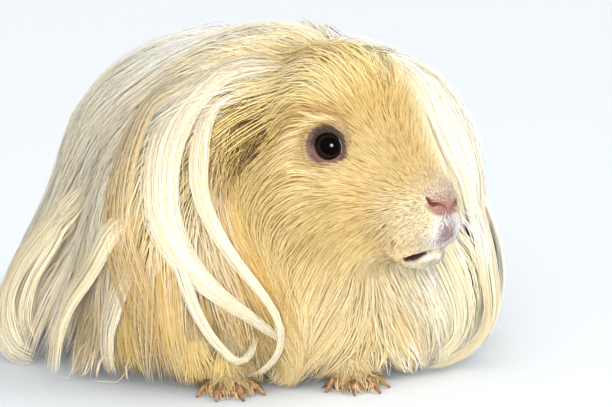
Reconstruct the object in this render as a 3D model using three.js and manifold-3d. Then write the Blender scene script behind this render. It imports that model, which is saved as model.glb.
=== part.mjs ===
// Long-haired guinea pig, sitting, head turned to its left. Millimetres, +X is the way the
// body faces, +Y is the animal's left, +Z is up and the floor is z = 0.
//
// The solids are the animal out to the tips of its coat. One smooth outline (a signed
// distance) holds head, neck, trunk and the curtain of hair down to the floor. It is turned
// into triangles, then parted by thin flat cuts. Legs are separate solids in pockets of the
// coat, and eyes, ears and claws are pieces of their own.
import * as THREE from 'three';
import { mergeVertices } from 'three/addons/utils/BufferGeometryUtils.js';
import Module from 'manifold-3d';

const wasm = await Module();
wasm.setup();

// ------------------------------------------------------------------ driving dimensions
const CUT_GAP = 0.35; // width of every thin cut and pocket gap
const BLOCK_SIZE = 600; // a cutting block, larger than the whole animal

// Trunk coat: a dome over an upright wall that flares out into the hair curtain.
const TRUNK_CENTRE_X = -62;
const TRUNK_FRONT = 98;
const TRUNK_REAR = 102;
const TRUNK_HALF_WIDTH = 63.5;
const DOME_BASE = 40; // level of the greatest width of the dome
const DOME_HEIGHT = 69;
const DOME_FULLNESS = 2.4; // 2 is an ellipse, more is boxier
const FLARE_TOP = 54; // the curtain spreads from here down
const FLARE_POWER = 0.85;
const SIDE_FLARE = 25; // how far the curtain spreads sideways at the floor
const REAR_FLARE = 9;
const FRONT_TUCK = 12; // how far the chest coat draws back over the forefeet
const LOCK_COUNT = 15; // large locks round the curtain
const LOCK_DEPTH = 3;
const CURTAIN_CLEARANCE = 1.0; // hair tips end just above the floor
const BELLY_HOLLOW = { half: [82, 58, 9] }; // the curtain hangs round a low hollow

// Neck ruff and the falls of hair over the shoulders: centre and half axes.
const RUFF = { centre: [-12, 6, 68], half: [38, 42, 43] };
const LEFT_MANE = { centre: [-36, 19, 62], half: [36, 59, 44] };
const LEFT_FALL = { centre: [-5, 39, 31], half: [33, 36, 38] };
const RIGHT_FALL = { centre: [2, -32, 36], half: [29, 27, 42] };
const CHEST_FALL = { centre: [14, 6, 36], half: [25, 30, 34] };

// Head frame: origin under the back of the skull, turned to the animal's left.
// In it, x runs to the nose, y to the head's left and z up from the floor.
const HEAD_ORIGIN = new THREE.Vector3(5, 1.3, 0);
const HEAD_TURN = THREE.MathUtils.degToRad(36);
const FACE = { from: [31, 79], to: [55, 61], fromRadius: 24.5, toRadius: 12.5 };
const JAW = { from: [20, 61], to: [52, 55], fromRadius: 21, toRadius: 10.5 };
const CREST = { centre: [24, 0, 87], half: [22, 21, 20.5] };
const CHEEK = { centre: [22, 15, 62], radius: 16.5 };
const HEAD_BLEND = 10;
const BODY_BLEND = 14;

const EYE = { centre: [33.6, 14.2, 77.4], radius: 5.2 };
const EYE_HOLLOW = { centre: [38, 26, 78.6], radius: 9.8, blend: 3 };
const EYE_SEGMENTS = 12;
const EYE_RINGS = 7;
const EAR_SEGMENTS = 12;
const EAR_RINGS = 6;
const NOSTRIL_SEGMENTS = 10;
const NOSTRIL_RINGS = 6;
const HOLLOW_SEGMENTS = 16;
const HOLLOW_RINGS = 6;

const NOSTRIL = { centre: [66.2, 3.6, 61.8], half: [2.6, 2.7, 0.8], tilt: 0.5 };

// A crease between cheek and shoulder, where the ear hangs free.
const EAR_CREASE = { from: [4, 38, 70], to: [24, 56, 76], radius: 12, blend: 5 };
const EAR = {
  centre: [5.5, 28, 71],
  halfWidth: 10.5,
  halfHeight: 12.5,
  halfThickness: 0.9,
  lean: 4, // the tip hangs this far behind the root
  droop: -0.3, // outward slope from root to tip
  flare: -0.18, // outward slope from front edge to rear edge
};

// Cuts between the parts of the body.
const HEAD_CUT = { point: [2, 0, 74], normal: [0.874, 0, 0.485] };
const HEAD_SIDE = 33; // the head's part of the ruff ends this far from its middle plane
const THROAT_LEVEL = 38;
const MOUTH_CUT = { point: [66, 0, 49.4], normal: [-0.2, 0, 0.98] };
const MOUTH_GAP = 0.9;
const SHOULDER_CUT_X = -24;
const HIP_CUT_X = -104;

// Forelegs and hind legs are given for the left side and mirrored. Joints run from the
// body to the paw: x, y, z and radius.
const FORELEG = {
  joints: [[-2, 23, 33, 9], [-9, 24, 19, 8], [13, 20, 7.4, 5.6], [21, 19.5, 4.1, 5.4]],
  toeAngles: [-40, -7, 20, 48],
  toeReach: [8, 10.6, 10.4, 7.2],
  toeRadius: 2.4,
  clawLength: 7.6,
  toeRoom: { centre: [27, 19.5, 2], half: [16, 15, 7.5] },
};
const HINDLEG = {
  joints: [[-92, 29, 31, 14], [-74, 36, 20, 10.5], [-108, 37, 5.2, 6.4], [-82, 41, 4.2, 5.4]],
  toeAngles: [-16, 4, 24],
  toeReach: [9.5, 11.5, 9.5],
  toeRadius: 2.7,
  clawLength: 8,
  toeRoom: { centre: [-74, 41.5, 2], half: [18, 14, 8] },
};
const SOLE_DEPTH = 0.5; // how far the round toes are flattened on the floor
const LIMB_SIDES = 7;
const LIMB_START_BLUNT = 0.6; // length of a limb's first end, against its radius
const LIMB_END_BLUNT = 0.8;
const TOE_SIDES = 5;
const TOE_SPREAD = 0.8; // how much thicker a toe is at its root
const TOE_ROOT_DROP = 1;
const TOE_ROOM_SEGMENTS = 8;
const TOE_ROOM_RINGS = 5;
const LEG_POCKET_GAP = 0.45;
const CLAW_BASE_RADIUS = 1.35;
const CLAW_TIP_RADIUS = 0.4;
const CLAW_ROOT = 1.8; // length of claw held in the toe
const CLAW_BEND = THREE.MathUtils.degToRad(46);
const CLAW_SIDES = 6;
const CLAW_RINGS = 2;
const CLAW_TAPER = 1.4; // above 1 the claw stays thick for longer
const CLAW_LIFT = 1.3; // height of the claw's root over the middle of the toe's tip

const COLOURS = {
  buff: 0xdcb672,
  cream: 0xefe2c0,
  pale: 0xe6dcc4,
  skin: 0xb98a76,
  claw: 0x9a6436,
  eye: 0x140a08,
};

// ------------------------------------------------------------------ distance functions
// Each gives the distance from a point to a surface, negative inside.
const { abs, atan2, cos, hypot, max, min, sin } = Math;

function ellipsoid(x, y, z, { centre, half }) {
  const dx = x - centre[0];
  const dy = y - centre[1];
  const dz = z - centre[2];
  const reach = hypot(dx / half[0], dy / half[1], dz / half[2]);
  const slope = hypot(dx / half[0] ** 2, dy / half[1] ** 2, dz / half[2] ** 2);
  return (reach * (reach - 1)) / max(slope, 1e-6);
}

function taperedLimb(p, a, b, radiusA, radiusB) {
  const ab = b.map((value, axis) => value - a[axis]);
  const ap = p.map((value, axis) => value - a[axis]);
  const length2 = ab.reduce((sum, value) => sum + value * value, 0);
  const along = ab.reduce((sum, value, axis) => sum + value * ap[axis], 0) / length2;
  const t = min(1, max(0, along));
  const offAxis = hypot(...ap.map((value, axis) => value - ab[axis] * t));
  return offAxis - radiusA - (radiusB - radiusA) * t;
}

function blend(a, b, width) {
  const overlap = max(width - abs(a - b), 0) / width;
  return min(a, b) - overlap * overlap * width * 0.25;
}

function carve(a, tool, width) {
  return -blend(-a, tool, width);
}

function trunkCoat(x, y, z) {
  const fall = min(1, max(0, 1 - z / FLARE_TOP)) ** FLARE_POWER;
  const dx = x - TRUNK_CENTRE_X;
  const halfLength = dx > 0 ? TRUNK_FRONT - FRONT_TUCK * fall : TRUNK_REAR + REAR_FLARE * fall;
  const halfWidth = TRUNK_HALF_WIDTH + SIDE_FLARE * fall;
  const level = max(0, (z - DOME_BASE) / DOME_HEIGHT) ** (DOME_FULLNESS / 2);
  const reach = hypot(dx / halfLength, y / halfWidth, level);
  const slope = hypot(dx / halfLength ** 2, y / halfWidth ** 2, level / DOME_HEIGHT);
  const around = atan2(y / halfWidth, dx / halfLength);
  const locks = LOCK_DEPTH * fall * cos(LOCK_COUNT * around + 1.1 * sin(3 * around));
  return (reach * (reach - 1)) / max(slope, 1e-6) - locks;
}

function faceLine(x, y, z, { from, to, fromRadius, toRadius }) {
  return taperedLimb([x, y, z], [from[0], 0, from[1]], [to[0], 0, to[1]], fromRadius, toRadius);
}

// The head in its own frame. It is the same on both sides, so y is folded.
function headCoat(x, y, z) {
  const side = abs(y);
  const jaw = faceLine(x, side, z, JAW);
  const cheek = hypot(x - CHEEK.centre[0], side - CHEEK.centre[1], z - CHEEK.centre[2]) - CHEEK.radius;
  let d = blend(faceLine(x, side, z, FACE), jaw, HEAD_BLEND);
  d = blend(d, cheek, HEAD_BLEND);
  d = blend(d, ellipsoid(x, side, z, CREST), HEAD_BLEND);
  const hollow = EYE_HOLLOW.centre;
  const eyeHollow = hypot(x - hollow[0], side - hollow[1], z - hollow[2]) - EYE_HOLLOW.radius;
  return carve(d, eyeHollow, EYE_HOLLOW.blend);
}

const turnCos = cos(HEAD_TURN);
const turnSin = sin(HEAD_TURN);

function intoHeadFrame(x, y) {
  const dx = x - HEAD_ORIGIN.x;
  const dy = y - HEAD_ORIGIN.y;
  return [dx * turnCos + dy * turnSin, dy * turnCos - dx * turnSin];
}

function fromHeadFrame(x, y) {
  return [HEAD_ORIGIN.x + x * turnCos - y * turnSin, HEAD_ORIGIN.y + x * turnSin + y * turnCos];
}

function coat(x, y, z) {
  let d = trunkCoat(x, y, z);
  for (const fall of [RUFF, LEFT_MANE, LEFT_FALL, RIGHT_FALL, CHEST_FALL]) {
    d = blend(d, ellipsoid(x, y, z, fall), BODY_BLEND);
  }
  const [headX, headY] = intoHeadFrame(x, y);
  const { from, to, radius } = EAR_CREASE;
  d = carve(d, taperedLimb([headX, abs(headY), z], from, to, radius, radius), EAR_CREASE.blend);
  return blend(d, headCoat(headX, headY, z), HEAD_BLEND);
}

function toeTip(leg, index) {
  const paw = leg.joints.at(-1);
  const angle = THREE.MathUtils.degToRad(leg.toeAngles[index]);
  const reach = leg.toeReach[index];
  return [paw[0] + reach * cos(angle), paw[1] + reach * sin(angle), leg.toeRadius - SOLE_DEPTH];
}

// ------------------------------------------------------------------ surface to triangles
const SETTLE_ROUNDS = 3;
const OUTSIDE = 0.5; // least distance given to the grid's border, so that the net closes

// A cell's corners are numbered by bits: 1 for x, 2 for y, 4 for z. An edge is its lower
// corner and the bit that it runs along, and a face is the four edges in it.
const CELL_EDGES = [];
for (let corner = 0; corner < 8; corner++) {
  for (const bit of [1, 2, 4]) {
    if (!(corner & bit)) CELL_EDGES.push([corner, corner | bit]);
  }
}
const edgeNumber = (corner, bit) => CELL_EDGES.findIndex(([a, b]) => a === corner && b === (corner | bit));
const vertexKey = (cellIndex, edge) => cellIndex * CELL_EDGES.length + edge;
const CELL_FACES = [];
for (const bit of [1, 2, 4]) {
  for (const level of [0, bit]) {
    const lies = ([a, b]) => (a & bit) === level && (b & bit) === level;
    CELL_FACES.push(CELL_EDGES.map((edge, n) => n).filter((n) => lies(CELL_EDGES[n])));
  }
}

// Sorts the crossed edges of a cell into sheets, one for each piece of surface in the cell.
function sheetsOf(crossed, isInside) {
  const sheet = new Map(crossed.map((edge) => [edge, edge]));
  const join = (a, b) => {
    const [from, to] = [sheet.get(a), sheet.get(b)];
    for (const edge of crossed) if (sheet.get(edge) === from) sheet.set(edge, to);
  };
  for (const face of CELL_FACES) {
    const cut = face.filter((edge) => sheet.has(edge));
    const innerCorner = (edge) => CELL_EDGES[edge].find(isInside);
    for (const a of cut) {
      for (const b of cut) {
        if (a < b && (cut.length === 2 || innerCorner(a) === innerCorner(b))) join(a, b);
      }
    }
  }
  const sheets = new Map();
  for (const edge of crossed) {
    const root = sheet.get(edge);
    sheets.set(root, [...(sheets.get(root) ?? []), edge]);
  }
  return [...sheets.values()];
}

function axisSteps(...stretches) {
  const marks = [stretches[0][0]];
  for (const [from, to, step] of stretches) {
    const count = Math.round((to - from) / step);
    for (let i = 1; i <= count; i++) marks.push(from + ((to - from) * i) / count);
  }
  return marks;
}

function slopeAt(distance, p) {
  const h = 0.05;
  return [
    (distance(p[0] + h, p[1], p[2]) - distance(p[0] - h, p[1], p[2])) / (2 * h),
    (distance(p[0], p[1] + h, p[2]) - distance(p[0], p[1] - h, p[2])) / (2 * h),
    (distance(p[0], p[1], p[2] + h) - distance(p[0], p[1], p[2] - h)) / (2 * h),
  ];
}

// Moves a point onto the surface, and keeps it inside its own cell.
function settle(distance, point, low, high) {
  let p = point;
  for (let round = 0; round < SETTLE_ROUNDS; round++) {
    const d = distance(...p);
    const slope = slopeAt(distance, p);
    const steepness = slope.reduce((sum, value) => sum + value * value, 1e-9);
    p = p.map((value, axis) => {
      const moved = value - (d * slope[axis]) / steepness;
      return min(high[axis], max(low[axis], moved));
    });
  }
  return p;
}

// A net of quads, one vertex for each piece of surface in a grid cell.
function surfaceNet(distance, axes) {
  const counts = axes.map((marks) => marks.length);
  const index = (i, j, k) => (k * counts[1] + j) * counts[0] + i;
  const values = new Float64Array(counts[0] * counts[1] * counts[2]);
  const isBorder = (cell) => cell.some((n, axis) => n === 0 || n === counts[axis] - 1);
  const eachCorner = (visit) => {
    for (let k = 0; k < counts[2]; k++) {
      for (let j = 0; j < counts[1]; j++) {
        for (let i = 0; i < counts[0]; i++) visit(i, j, k);
      }
    }
  };
  eachCorner((i, j, k) => {
    const d = distance(axes[0][i], axes[1][j], axes[2][k]);
    values[index(i, j, k)] = isBorder([i, j, k]) ? max(d, OUTSIDE) : d;
  });

  const positions = [];
  const vertexOn = new Map(); // from a cell and one of its edges
  eachCorner((i, j, k) => {
    const cell = [i, j, k];
    if (cell.some((n, axis) => n === counts[axis] - 1)) return;
    const low = cell.map((n, axis) => axes[axis][n]);
    const high = cell.map((n, axis) => axes[axis][n + 1]);
    const cornerPoint = (c) => [0, 1, 2].map((axis) => ((c >> axis) & 1 ? high[axis] : low[axis]));
    const cornerValue = (c) => values[index(i + (c & 1), j + ((c >> 1) & 1), k + ((c >> 2) & 1))];
    const isInside = (c) => cornerValue(c) < 0;
    const crossed = CELL_EDGES.map((_, n) => n).filter((n) => {
      const [a, b] = CELL_EDGES[n];
      return isInside(a) !== isInside(b);
    });
    if (!crossed.length) return;
    const crossing = (n) => {
      const [a, b] = CELL_EDGES[n];
      const t = cornerValue(a) / (cornerValue(a) - cornerValue(b));
      const end = cornerPoint(b);
      return cornerPoint(a).map((value, axis) => value + (end[axis] - value) * t);
    };
    const touchesBorder = cell.some((n, axis) => n === 0 || n === counts[axis] - 2);
    for (const edges of sheetsOf(crossed, isInside)) {
      const points = edges.map(crossing);
      const mean = low.map((_, axis) => points.reduce((sum, p) => sum + p[axis], 0) / points.length);
      for (const edge of edges) vertexOn.set(vertexKey(index(i, j, k), edge), positions.length / 3);
      positions.push(...(touchesBorder ? mean : settle(distance, mean, low, high)));
    }
  });

  const triangles = [];
  const vertexPoint = (v) => positions.slice(3 * v, 3 * v + 3);
  const addQuad = (quad) => {
    const points = quad.map(vertexPoint);
    const span = (a, b) => hypot(...points[a].map((value, axis) => value - points[b][axis]));
    const [a, b, c, d] = quad;
    if (span(0, 2) < span(1, 3)) triangles.push(a, b, c, a, c, d);
    else triangles.push(a, b, d, b, c, d);
  };
  eachCorner((i, j, k) => {
    const here = [i, j, k];
    for (let axis = 0; axis < 3; axis++) {
      const next = here.map((n, other) => n + (other === axis ? 1 : 0));
      if (next[axis] >= counts[axis]) continue;
      const inside = values[index(...here)] < 0;
      if (inside === values[index(...next)] < 0) continue;
      const second = (axis + 1) % 3;
      const third = (axis + 2) % 3;
      const quad = [[-1, -1], [0, -1], [0, 0], [-1, 0]].map(([s, t]) => {
        const cell = [...here];
        cell[second] += s;
        cell[third] += t;
        const corner = (s ? 1 << second : 0) + (t ? 1 << third : 0);
        return vertexOn.get(vertexKey(index(...cell), edgeNumber(corner, 1 << axis)));
      });
      addQuad(inside ? quad : quad.reverse());
    }
  });

  const geometry = new THREE.BufferGeometry();
  geometry.setAttribute('position', new THREE.Float32BufferAttribute(positions, 3));
  geometry.setIndex(triangles);
  return geometry;
}

// ------------------------------------------------------------------ solids and cuts
function toSolid(geometry) {
  const bare = geometry.clone();
  bare.deleteAttribute('normal');
  bare.deleteAttribute('uv');
  const merged = mergeVertices(bare, 1e-4);
  return new wasm.Manifold(
    new wasm.Mesh({
      numProp: 3,
      vertProperties: new Float32Array(merged.attributes.position.array),
      triVerts: new Uint32Array(merged.index.array),
    }),
  );
}

function toGeometry(solid) {
  const mesh = solid.getMesh();
  const geometry = new THREE.BufferGeometry();
  geometry.setAttribute('position', new THREE.Float32BufferAttribute(mesh.vertProperties, 3));
  geometry.setIndex([...mesh.triVerts]);
  return geometry;
}

const headPlacement = new THREE.Matrix4()
  .makeRotationZ(HEAD_TURN)
  .setPosition(HEAD_ORIGIN);

// Everything on one side of a plane, moved off it by half a cut's width.
function sideOf(point, normal, width = CUT_GAP, placement = new THREE.Matrix4()) {
  const up = new THREE.Vector3(...normal).normalize();
  const turn = new THREE.Quaternion().setFromUnitVectors(new THREE.Vector3(0, 0, 1), up);
  const block = new THREE.BoxGeometry(BLOCK_SIZE, BLOCK_SIZE, BLOCK_SIZE);
  block.translate(0, 0, BLOCK_SIZE / 2 + width / 2);
  block.applyQuaternion(turn);
  block.translate(...point);
  block.applyMatrix4(placement);
  return toSolid(block);
}

// The room that the head takes up: before the head cut, above the throat, between two sides.
function headRoom(width) {
  return sideOf(HEAD_CUT.point, HEAD_CUT.normal, width, headPlacement)
    .intersect(sideOf([SHOULDER_CUT_X, 0, 0], [1, 0, 0], width))
    .intersect(sideOf([0, 0, THROAT_LEVEL], [0, 0, 1], width))
    .intersect(sideOf([0, HEAD_SIDE, 0], [0, -1, 0], width, headPlacement))
    .intersect(sideOf([0, -HEAD_SIDE, 0], [0, 1, 0], width, headPlacement));
}

const aboveThroat = sideOf([0, 0, THROAT_LEVEL], [0, 0, 1]);
const aboveMouth = sideOf(MOUTH_CUT.point, MOUTH_CUT.normal, MOUTH_GAP, headPlacement);
const belowMouth = sideOf(MOUTH_CUT.point, MOUTH_CUT.normal.map((n) => -n), MOUTH_GAP, headPlacement);
const beforeShoulder = sideOf([SHOULDER_CUT_X, 0, 0], [1, 0, 0]);
const beforeShoulderFull = sideOf([SHOULDER_CUT_X, 0, 0], [1, 0, 0], -CUT_GAP);
const aboveThroatFull = sideOf([0, 0, THROAT_LEVEL], [0, 0, 1], -CUT_GAP);
const beforeHip = sideOf([HIP_CUT_X, 0, 0], [1, 0, 0]);
const behindHip = sideOf([HIP_CUT_X, 0, 0], [-1, 0, 0]);
const aboveFloor = sideOf([0, 0, 0], [0, 0, 1], 0);

// ------------------------------------------------------------------ eyes, ears, claws
function eyeSolid(side, grow) {
  const ball = new THREE.SphereGeometry(EYE.radius + grow, EYE_SEGMENTS, EYE_RINGS);
  ball.rotateX(-side * Math.PI / 2);
  ball.translate(EYE.centre[0], side * EYE.centre[1], EYE.centre[2]);
  ball.applyMatrix4(headPlacement);
  return toSolid(ball);
}

// A drooping leaf that hangs in the crease behind the cheek.
function earSolid(side, grow) {
  const leaf = new THREE.SphereGeometry(1, EAR_SEGMENTS, EAR_RINGS);
  const points = leaf.attributes.position;
  for (let i = 0; i < points.count; i++) {
    const across = points.getX(i) * (EAR.halfWidth + grow) + points.getY(i) * EAR.lean;
    const along = points.getY(i) * (EAR.halfHeight + grow);
    const through = points.getZ(i) * (EAR.halfThickness + grow);
    const out = EAR.centre[1] + through + EAR.flare * across + EAR.droop * along;
    points.setXYZ(i, EAR.centre[0] + across, side * out, EAR.centre[2] + along);
  }
  leaf.applyMatrix4(headPlacement);
  if (side > 0) leaf.index.array.reverse();
  return toSolid(leaf);
}

function clawSolid(leg, index, side, grow) {
  const profile = [new THREE.Vector2(0, 0)];
  for (let ring = 0; ring <= CLAW_RINGS; ring++) {
    const t = ring / CLAW_RINGS;
    const radius = CLAW_BASE_RADIUS + (CLAW_TIP_RADIUS - CLAW_BASE_RADIUS) * t ** CLAW_TAPER;
    profile.push(new THREE.Vector2(radius + grow, t * leg.clawLength));
  }
  profile.push(new THREE.Vector2(0, leg.clawLength + grow));
  const claw = new THREE.LatheGeometry(profile, CLAW_SIDES);
  const points = claw.attributes.position;
  const bow = leg.clawLength / CLAW_BEND; // radius of the claw's curve
  for (let i = 0; i < points.count; i++) {
    const turn = (points.getY(i) / leg.clawLength) * CLAW_BEND;
    const out = bow - points.getZ(i);
    points.setXYZ(i, out * sin(turn), points.getX(i), out * cos(turn) - bow);
  }
  const tip = toeTip(leg, index);
  const angle = THREE.MathUtils.degToRad(leg.toeAngles[index]);
  const start = leg.toeRadius - CLAW_ROOT;
  claw.rotateZ(angle);
  claw.translate(tip[0] + start * cos(angle), tip[1] + start * sin(angle), tip[2] + CLAW_LIFT);
  if (side < 0) mirror(claw);
  return toSolid(claw);
}

function mirror(geometry) {
  geometry.scale(1, -1, 1);
  geometry.index.array.reverse();
}

// ------------------------------------------------------------------ legs
// A tapered limb with blunt ends, turned on a lathe and laid from one joint to the next.
function limb(from, to, fromRadius, toRadius, sides) {
  const start = new THREE.Vector3(...from);
  const run = new THREE.Vector3(...to).sub(start);
  const length = run.length();
  const profile = [
    new THREE.Vector2(0, -LIMB_START_BLUNT * fromRadius),
    new THREE.Vector2(fromRadius, 0),
    new THREE.Vector2(toRadius, length),
    new THREE.Vector2(0, length + LIMB_END_BLUNT * toRadius),
  ];
  const shape = new THREE.LatheGeometry(profile, sides);
  const turn = new THREE.Quaternion().setFromUnitVectors(new THREE.Vector3(0, 1, 0), run.normalize());
  shape.applyQuaternion(turn);
  shape.translate(...from);
  return shape;
}

function onSide(geometry, side) {
  if (side < 0) mirror(geometry);
  return toSolid(geometry);
}

function limbs(leg, side, grow) {
  const bones = leg.joints.slice(1).map((joint, i) => [leg.joints[i], joint]);
  return bones
    .map(([a, b]) => limb(a.slice(0, 3), b.slice(0, 3), a[3] + grow, b[3] + grow, LIMB_SIDES))
    .map((geometry) => onSide(geometry, side))
    .reduce((whole, piece) => whole.add(piece));
}

function buildLeg(leg, side) {
  const paw = leg.joints.at(-1);
  const toeRoot = [paw[0], paw[1], paw[2] - TOE_ROOT_DROP];
  let solid = limbs(leg, side, 0);
  leg.toeAngles.forEach((_, index) => {
    const rootRadius = leg.toeRadius + TOE_SPREAD;
    const toe = limb(toeRoot, toeTip(leg, index), rootRadius, leg.toeRadius, TOE_SIDES);
    solid = solid.add(onSide(toe, side));
  });
  leg.toeAngles.forEach((_, index) => {
    solid = solid.subtract(clawSolid(leg, index, side, CUT_GAP));
  });
  const room = new THREE.SphereGeometry(1, TOE_ROOM_SEGMENTS, TOE_ROOM_RINGS);
  room.scale(...leg.toeRoom.half);
  room.translate(...leg.toeRoom.centre);
  return {
    solid: solid.intersect(aboveFloor),
    claws: leg.toeAngles.map((_, index) => clawSolid(leg, index, side, 0)),
    pocket: limbs(leg, side, LEG_POCKET_GAP).add(onSide(room, side)),
  };
}

const SIDES = [['left', 1], ['right', -1]];
const legs = [];
for (const [sideName, side] of SIDES) {
  legs.push({ name: `foreleg_${sideName}`, paw: `forefoot_${sideName}`, ...buildLeg(FORELEG, side) });
  legs.push({ name: `hindleg_${sideName}`, paw: `hindfoot_${sideName}`, ...buildLeg(HINDLEG, side) });
}

// ------------------------------------------------------------------ flesh and coat
function headSpaceCoat(x, y, z) {
  const [bodyX, bodyY] = fromHeadFrame(x, y);
  return coat(bodyX, bodyY, z);
}

// Stretches of each grid, one line for each axis: start, end and step.
const HEAD_GRID = [
  axisSteps([-40, 46, 7], [46, 76, 3.9]),
  axisSteps([-51, -12, 6.6], [-12, 12, 4.2], [12, 51, 6.6]),
  axisSteps([27, 68, 5.4], [68, 120, 6.8]),
];
const BODY_GRID = [
  axisSteps([-190, -30, 13.5], [-30, 54, 10.5]),
  axisSteps([-104, 104, 11]),
  axisSteps([-14, 43, 9.5], [43, 123, 12]),
];
const NECK_GRID = [
  axisSteps([-42, 54, 9]),
  axisSteps([-75, 96, 9]),
  axisSteps([22, 122, 9.2]),
];

const headNet = surfaceNet(headSpaceCoat, HEAD_GRID).applyMatrix4(headPlacement);
const bodyNet = surfaceNet(coat, BODY_GRID);
const neckNet = surfaceNet(coat, NECK_GRID);
const bellyHollow = new THREE.SphereGeometry(1, HOLLOW_SEGMENTS, HOLLOW_RINGS);
bellyHollow.rotateX(Math.PI / 2);
bellyHollow.scale(...BELLY_HOLLOW.half);
bellyHollow.translate(TRUNK_CENTRE_X, 0, CURTAIN_CLEARANCE);
const aboveCurtainTips = sideOf([0, 0, CURTAIN_CLEARANCE], [0, 0, 1], 0);

let body = toSolid(bodyNet).intersect(aboveCurtainTips).subtract(toSolid(bellyHollow));
for (const leg of legs) body = body.subtract(leg.pocket);

function nostril(side) {
  const slit = new THREE.SphereGeometry(1, NOSTRIL_SEGMENTS, NOSTRIL_RINGS);
  slit.scale(...NOSTRIL.half);
  slit.rotateX(-side * NOSTRIL.tilt);
  slit.translate(NOSTRIL.centre[0], side * NOSTRIL.centre[1], NOSTRIL.centre[2]);
  slit.applyMatrix4(headPlacement);
  return toSolid(slit);
}

let head = toSolid(headNet).intersect(headRoom(CUT_GAP));
for (const [, side] of SIDES) {
  head = head.subtract(eyeSolid(side, CUT_GAP)).subtract(nostril(side));
}
const jaw = head.intersect(belowMouth);
head = head.intersect(aboveMouth);
let neck = toSolid(neckNet)
  .intersect(aboveThroat)
  .intersect(beforeShoulder)
  .subtract(headRoom(-CUT_GAP));
let trunk = body.intersect(beforeHip).subtract(beforeShoulderFull.intersect(aboveThroatFull));
const hindquarters = body.intersect(behindHip);
for (const [, side] of SIDES) {
  const earPocket = earSolid(side, CUT_GAP);
  head = head.subtract(earPocket);
  neck = neck.subtract(earPocket);
  trunk = trunk.subtract(earPocket);
}

// ------------------------------------------------------------------ the model
const model = new THREE.Group();

function addPart(name, solid, colour, roughness) {
  const material = new THREE.MeshStandardMaterial({ color: colour, roughness, metalness: 0 });
  const mesh = new THREE.Mesh(toGeometry(solid), material);
  mesh.name = name;
  model.add(mesh);
}

const COAT_ROUGHNESS = 0.85;
const SKIN_ROUGHNESS = 0.6;
const CLAW_ROUGHNESS = 0.4;
const EYE_ROUGHNESS = 0.06;
addPart('head', head, COLOURS.buff, COAT_ROUGHNESS);
addPart('lower_jaw', jaw, COLOURS.pale, COAT_ROUGHNESS);
addPart('neck', neck, COLOURS.cream, COAT_ROUGHNESS);
addPart('trunk', trunk, COLOURS.pale, COAT_ROUGHNESS);
addPart('hindquarters', hindquarters, COLOURS.pale, COAT_ROUGHNESS);
for (const [sideName, side] of SIDES) {
  addPart(`eye_${sideName}`, eyeSolid(side, 0), COLOURS.eye, EYE_ROUGHNESS);
  addPart(`ear_${sideName}`, earSolid(side, 0), COLOURS.skin, SKIN_ROUGHNESS);
}
for (const leg of legs) {
  addPart(leg.name, leg.solid, COLOURS.skin, COAT_ROUGHNESS);
  leg.claws.forEach((claw, index) => {
    addPart(`claw_${leg.paw}_${index + 1}`, claw, COLOURS.claw, CLAW_ROUGHNESS);
  });
}

// The origin is under the middle of the animal's box, on the floor.
const middle = new THREE.Box3().setFromObject(model).getCenter(new THREE.Vector3());
model.position.set(-middle.x, -middle.y, 0);

export default model;
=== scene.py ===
# Long-haired guinea pig, life size, sitting with its head turned to its left.
#
# One skin stands for the solids of flesh. It is made from the same outlines as the solids,
# drawn in by the depth of the coat. The coat is closed tapered strands of mesh: each grows
# from the skin, rises to its own layer of the coat and follows the lie of the hair. Long
# strands gather in locks that end in points. Eyes and claws are the solids of the frame
# with their own materials, and the eyes get lids in the skin.
#
# Shapes are worked out in millimetres in the body's own frame: +X is the way the body
# faces, +Y the animal's left and +Z up. The frame's eye says how far that lies from the
# row frame in which everything is made.
import math

import bpy
import numpy as np
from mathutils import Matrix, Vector


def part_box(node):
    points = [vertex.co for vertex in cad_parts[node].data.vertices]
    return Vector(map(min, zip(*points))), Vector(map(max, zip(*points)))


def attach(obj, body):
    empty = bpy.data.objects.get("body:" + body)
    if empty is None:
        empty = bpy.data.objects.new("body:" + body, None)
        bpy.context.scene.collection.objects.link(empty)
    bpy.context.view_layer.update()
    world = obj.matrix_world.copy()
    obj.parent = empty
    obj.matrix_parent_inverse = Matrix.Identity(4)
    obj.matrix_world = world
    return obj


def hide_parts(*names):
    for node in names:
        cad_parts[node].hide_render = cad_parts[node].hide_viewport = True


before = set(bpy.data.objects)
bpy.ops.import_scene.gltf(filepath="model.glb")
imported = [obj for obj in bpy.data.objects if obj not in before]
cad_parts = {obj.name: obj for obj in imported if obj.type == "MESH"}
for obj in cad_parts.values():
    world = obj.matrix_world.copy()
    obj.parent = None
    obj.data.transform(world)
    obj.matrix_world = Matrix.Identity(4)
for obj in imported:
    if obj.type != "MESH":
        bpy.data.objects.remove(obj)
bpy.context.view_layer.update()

MM = 0.001
rng = np.random.default_rng(20)

# ------------------------------------------------------------------ outline of the coat
TRUNK = dict(centre_x=-62, front=98, rear=102, half_width=63.5, base=40, height=69, fullness=2.4,
             flare_top=54, flare_power=0.85, side_flare=25, rear_flare=9, tuck=12, locks=15, lock_depth=3)
FALLS = [  # ruff, mane and falls of hair over the shoulders and chest: centre and half axes
    ((-12, 6, 68), (38, 42, 43)),
    ((-36, 19, 62), (36, 59, 44)),
    ((-5, 39, 31), (33, 36, 38)),
    ((2, -32, 36), (29, 27, 42)),
    ((14, 6, 36), (25, 30, 34)),
]
BODY_BLEND = 14
HEAD_BLEND = 10

# Head frame: x runs to the nose, y to the head's left, z up from the floor.
HEAD_ORIGIN = (5, 1.3)
HEAD_TURN = math.radians(36)
HEAD_COS, HEAD_SIN = math.cos(HEAD_TURN), math.sin(HEAD_TURN)
EYE = (33.6, 14.2, 77.4)
EYE_RADIUS = 5.2
EYE_HOLLOW = (38, 26, 78.6)
EAR = dict(centre=(5.5, 28, 71), half=(10.2, 12.2, 0.8), lean=4, droop=-0.3, flare=-0.18)

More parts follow.
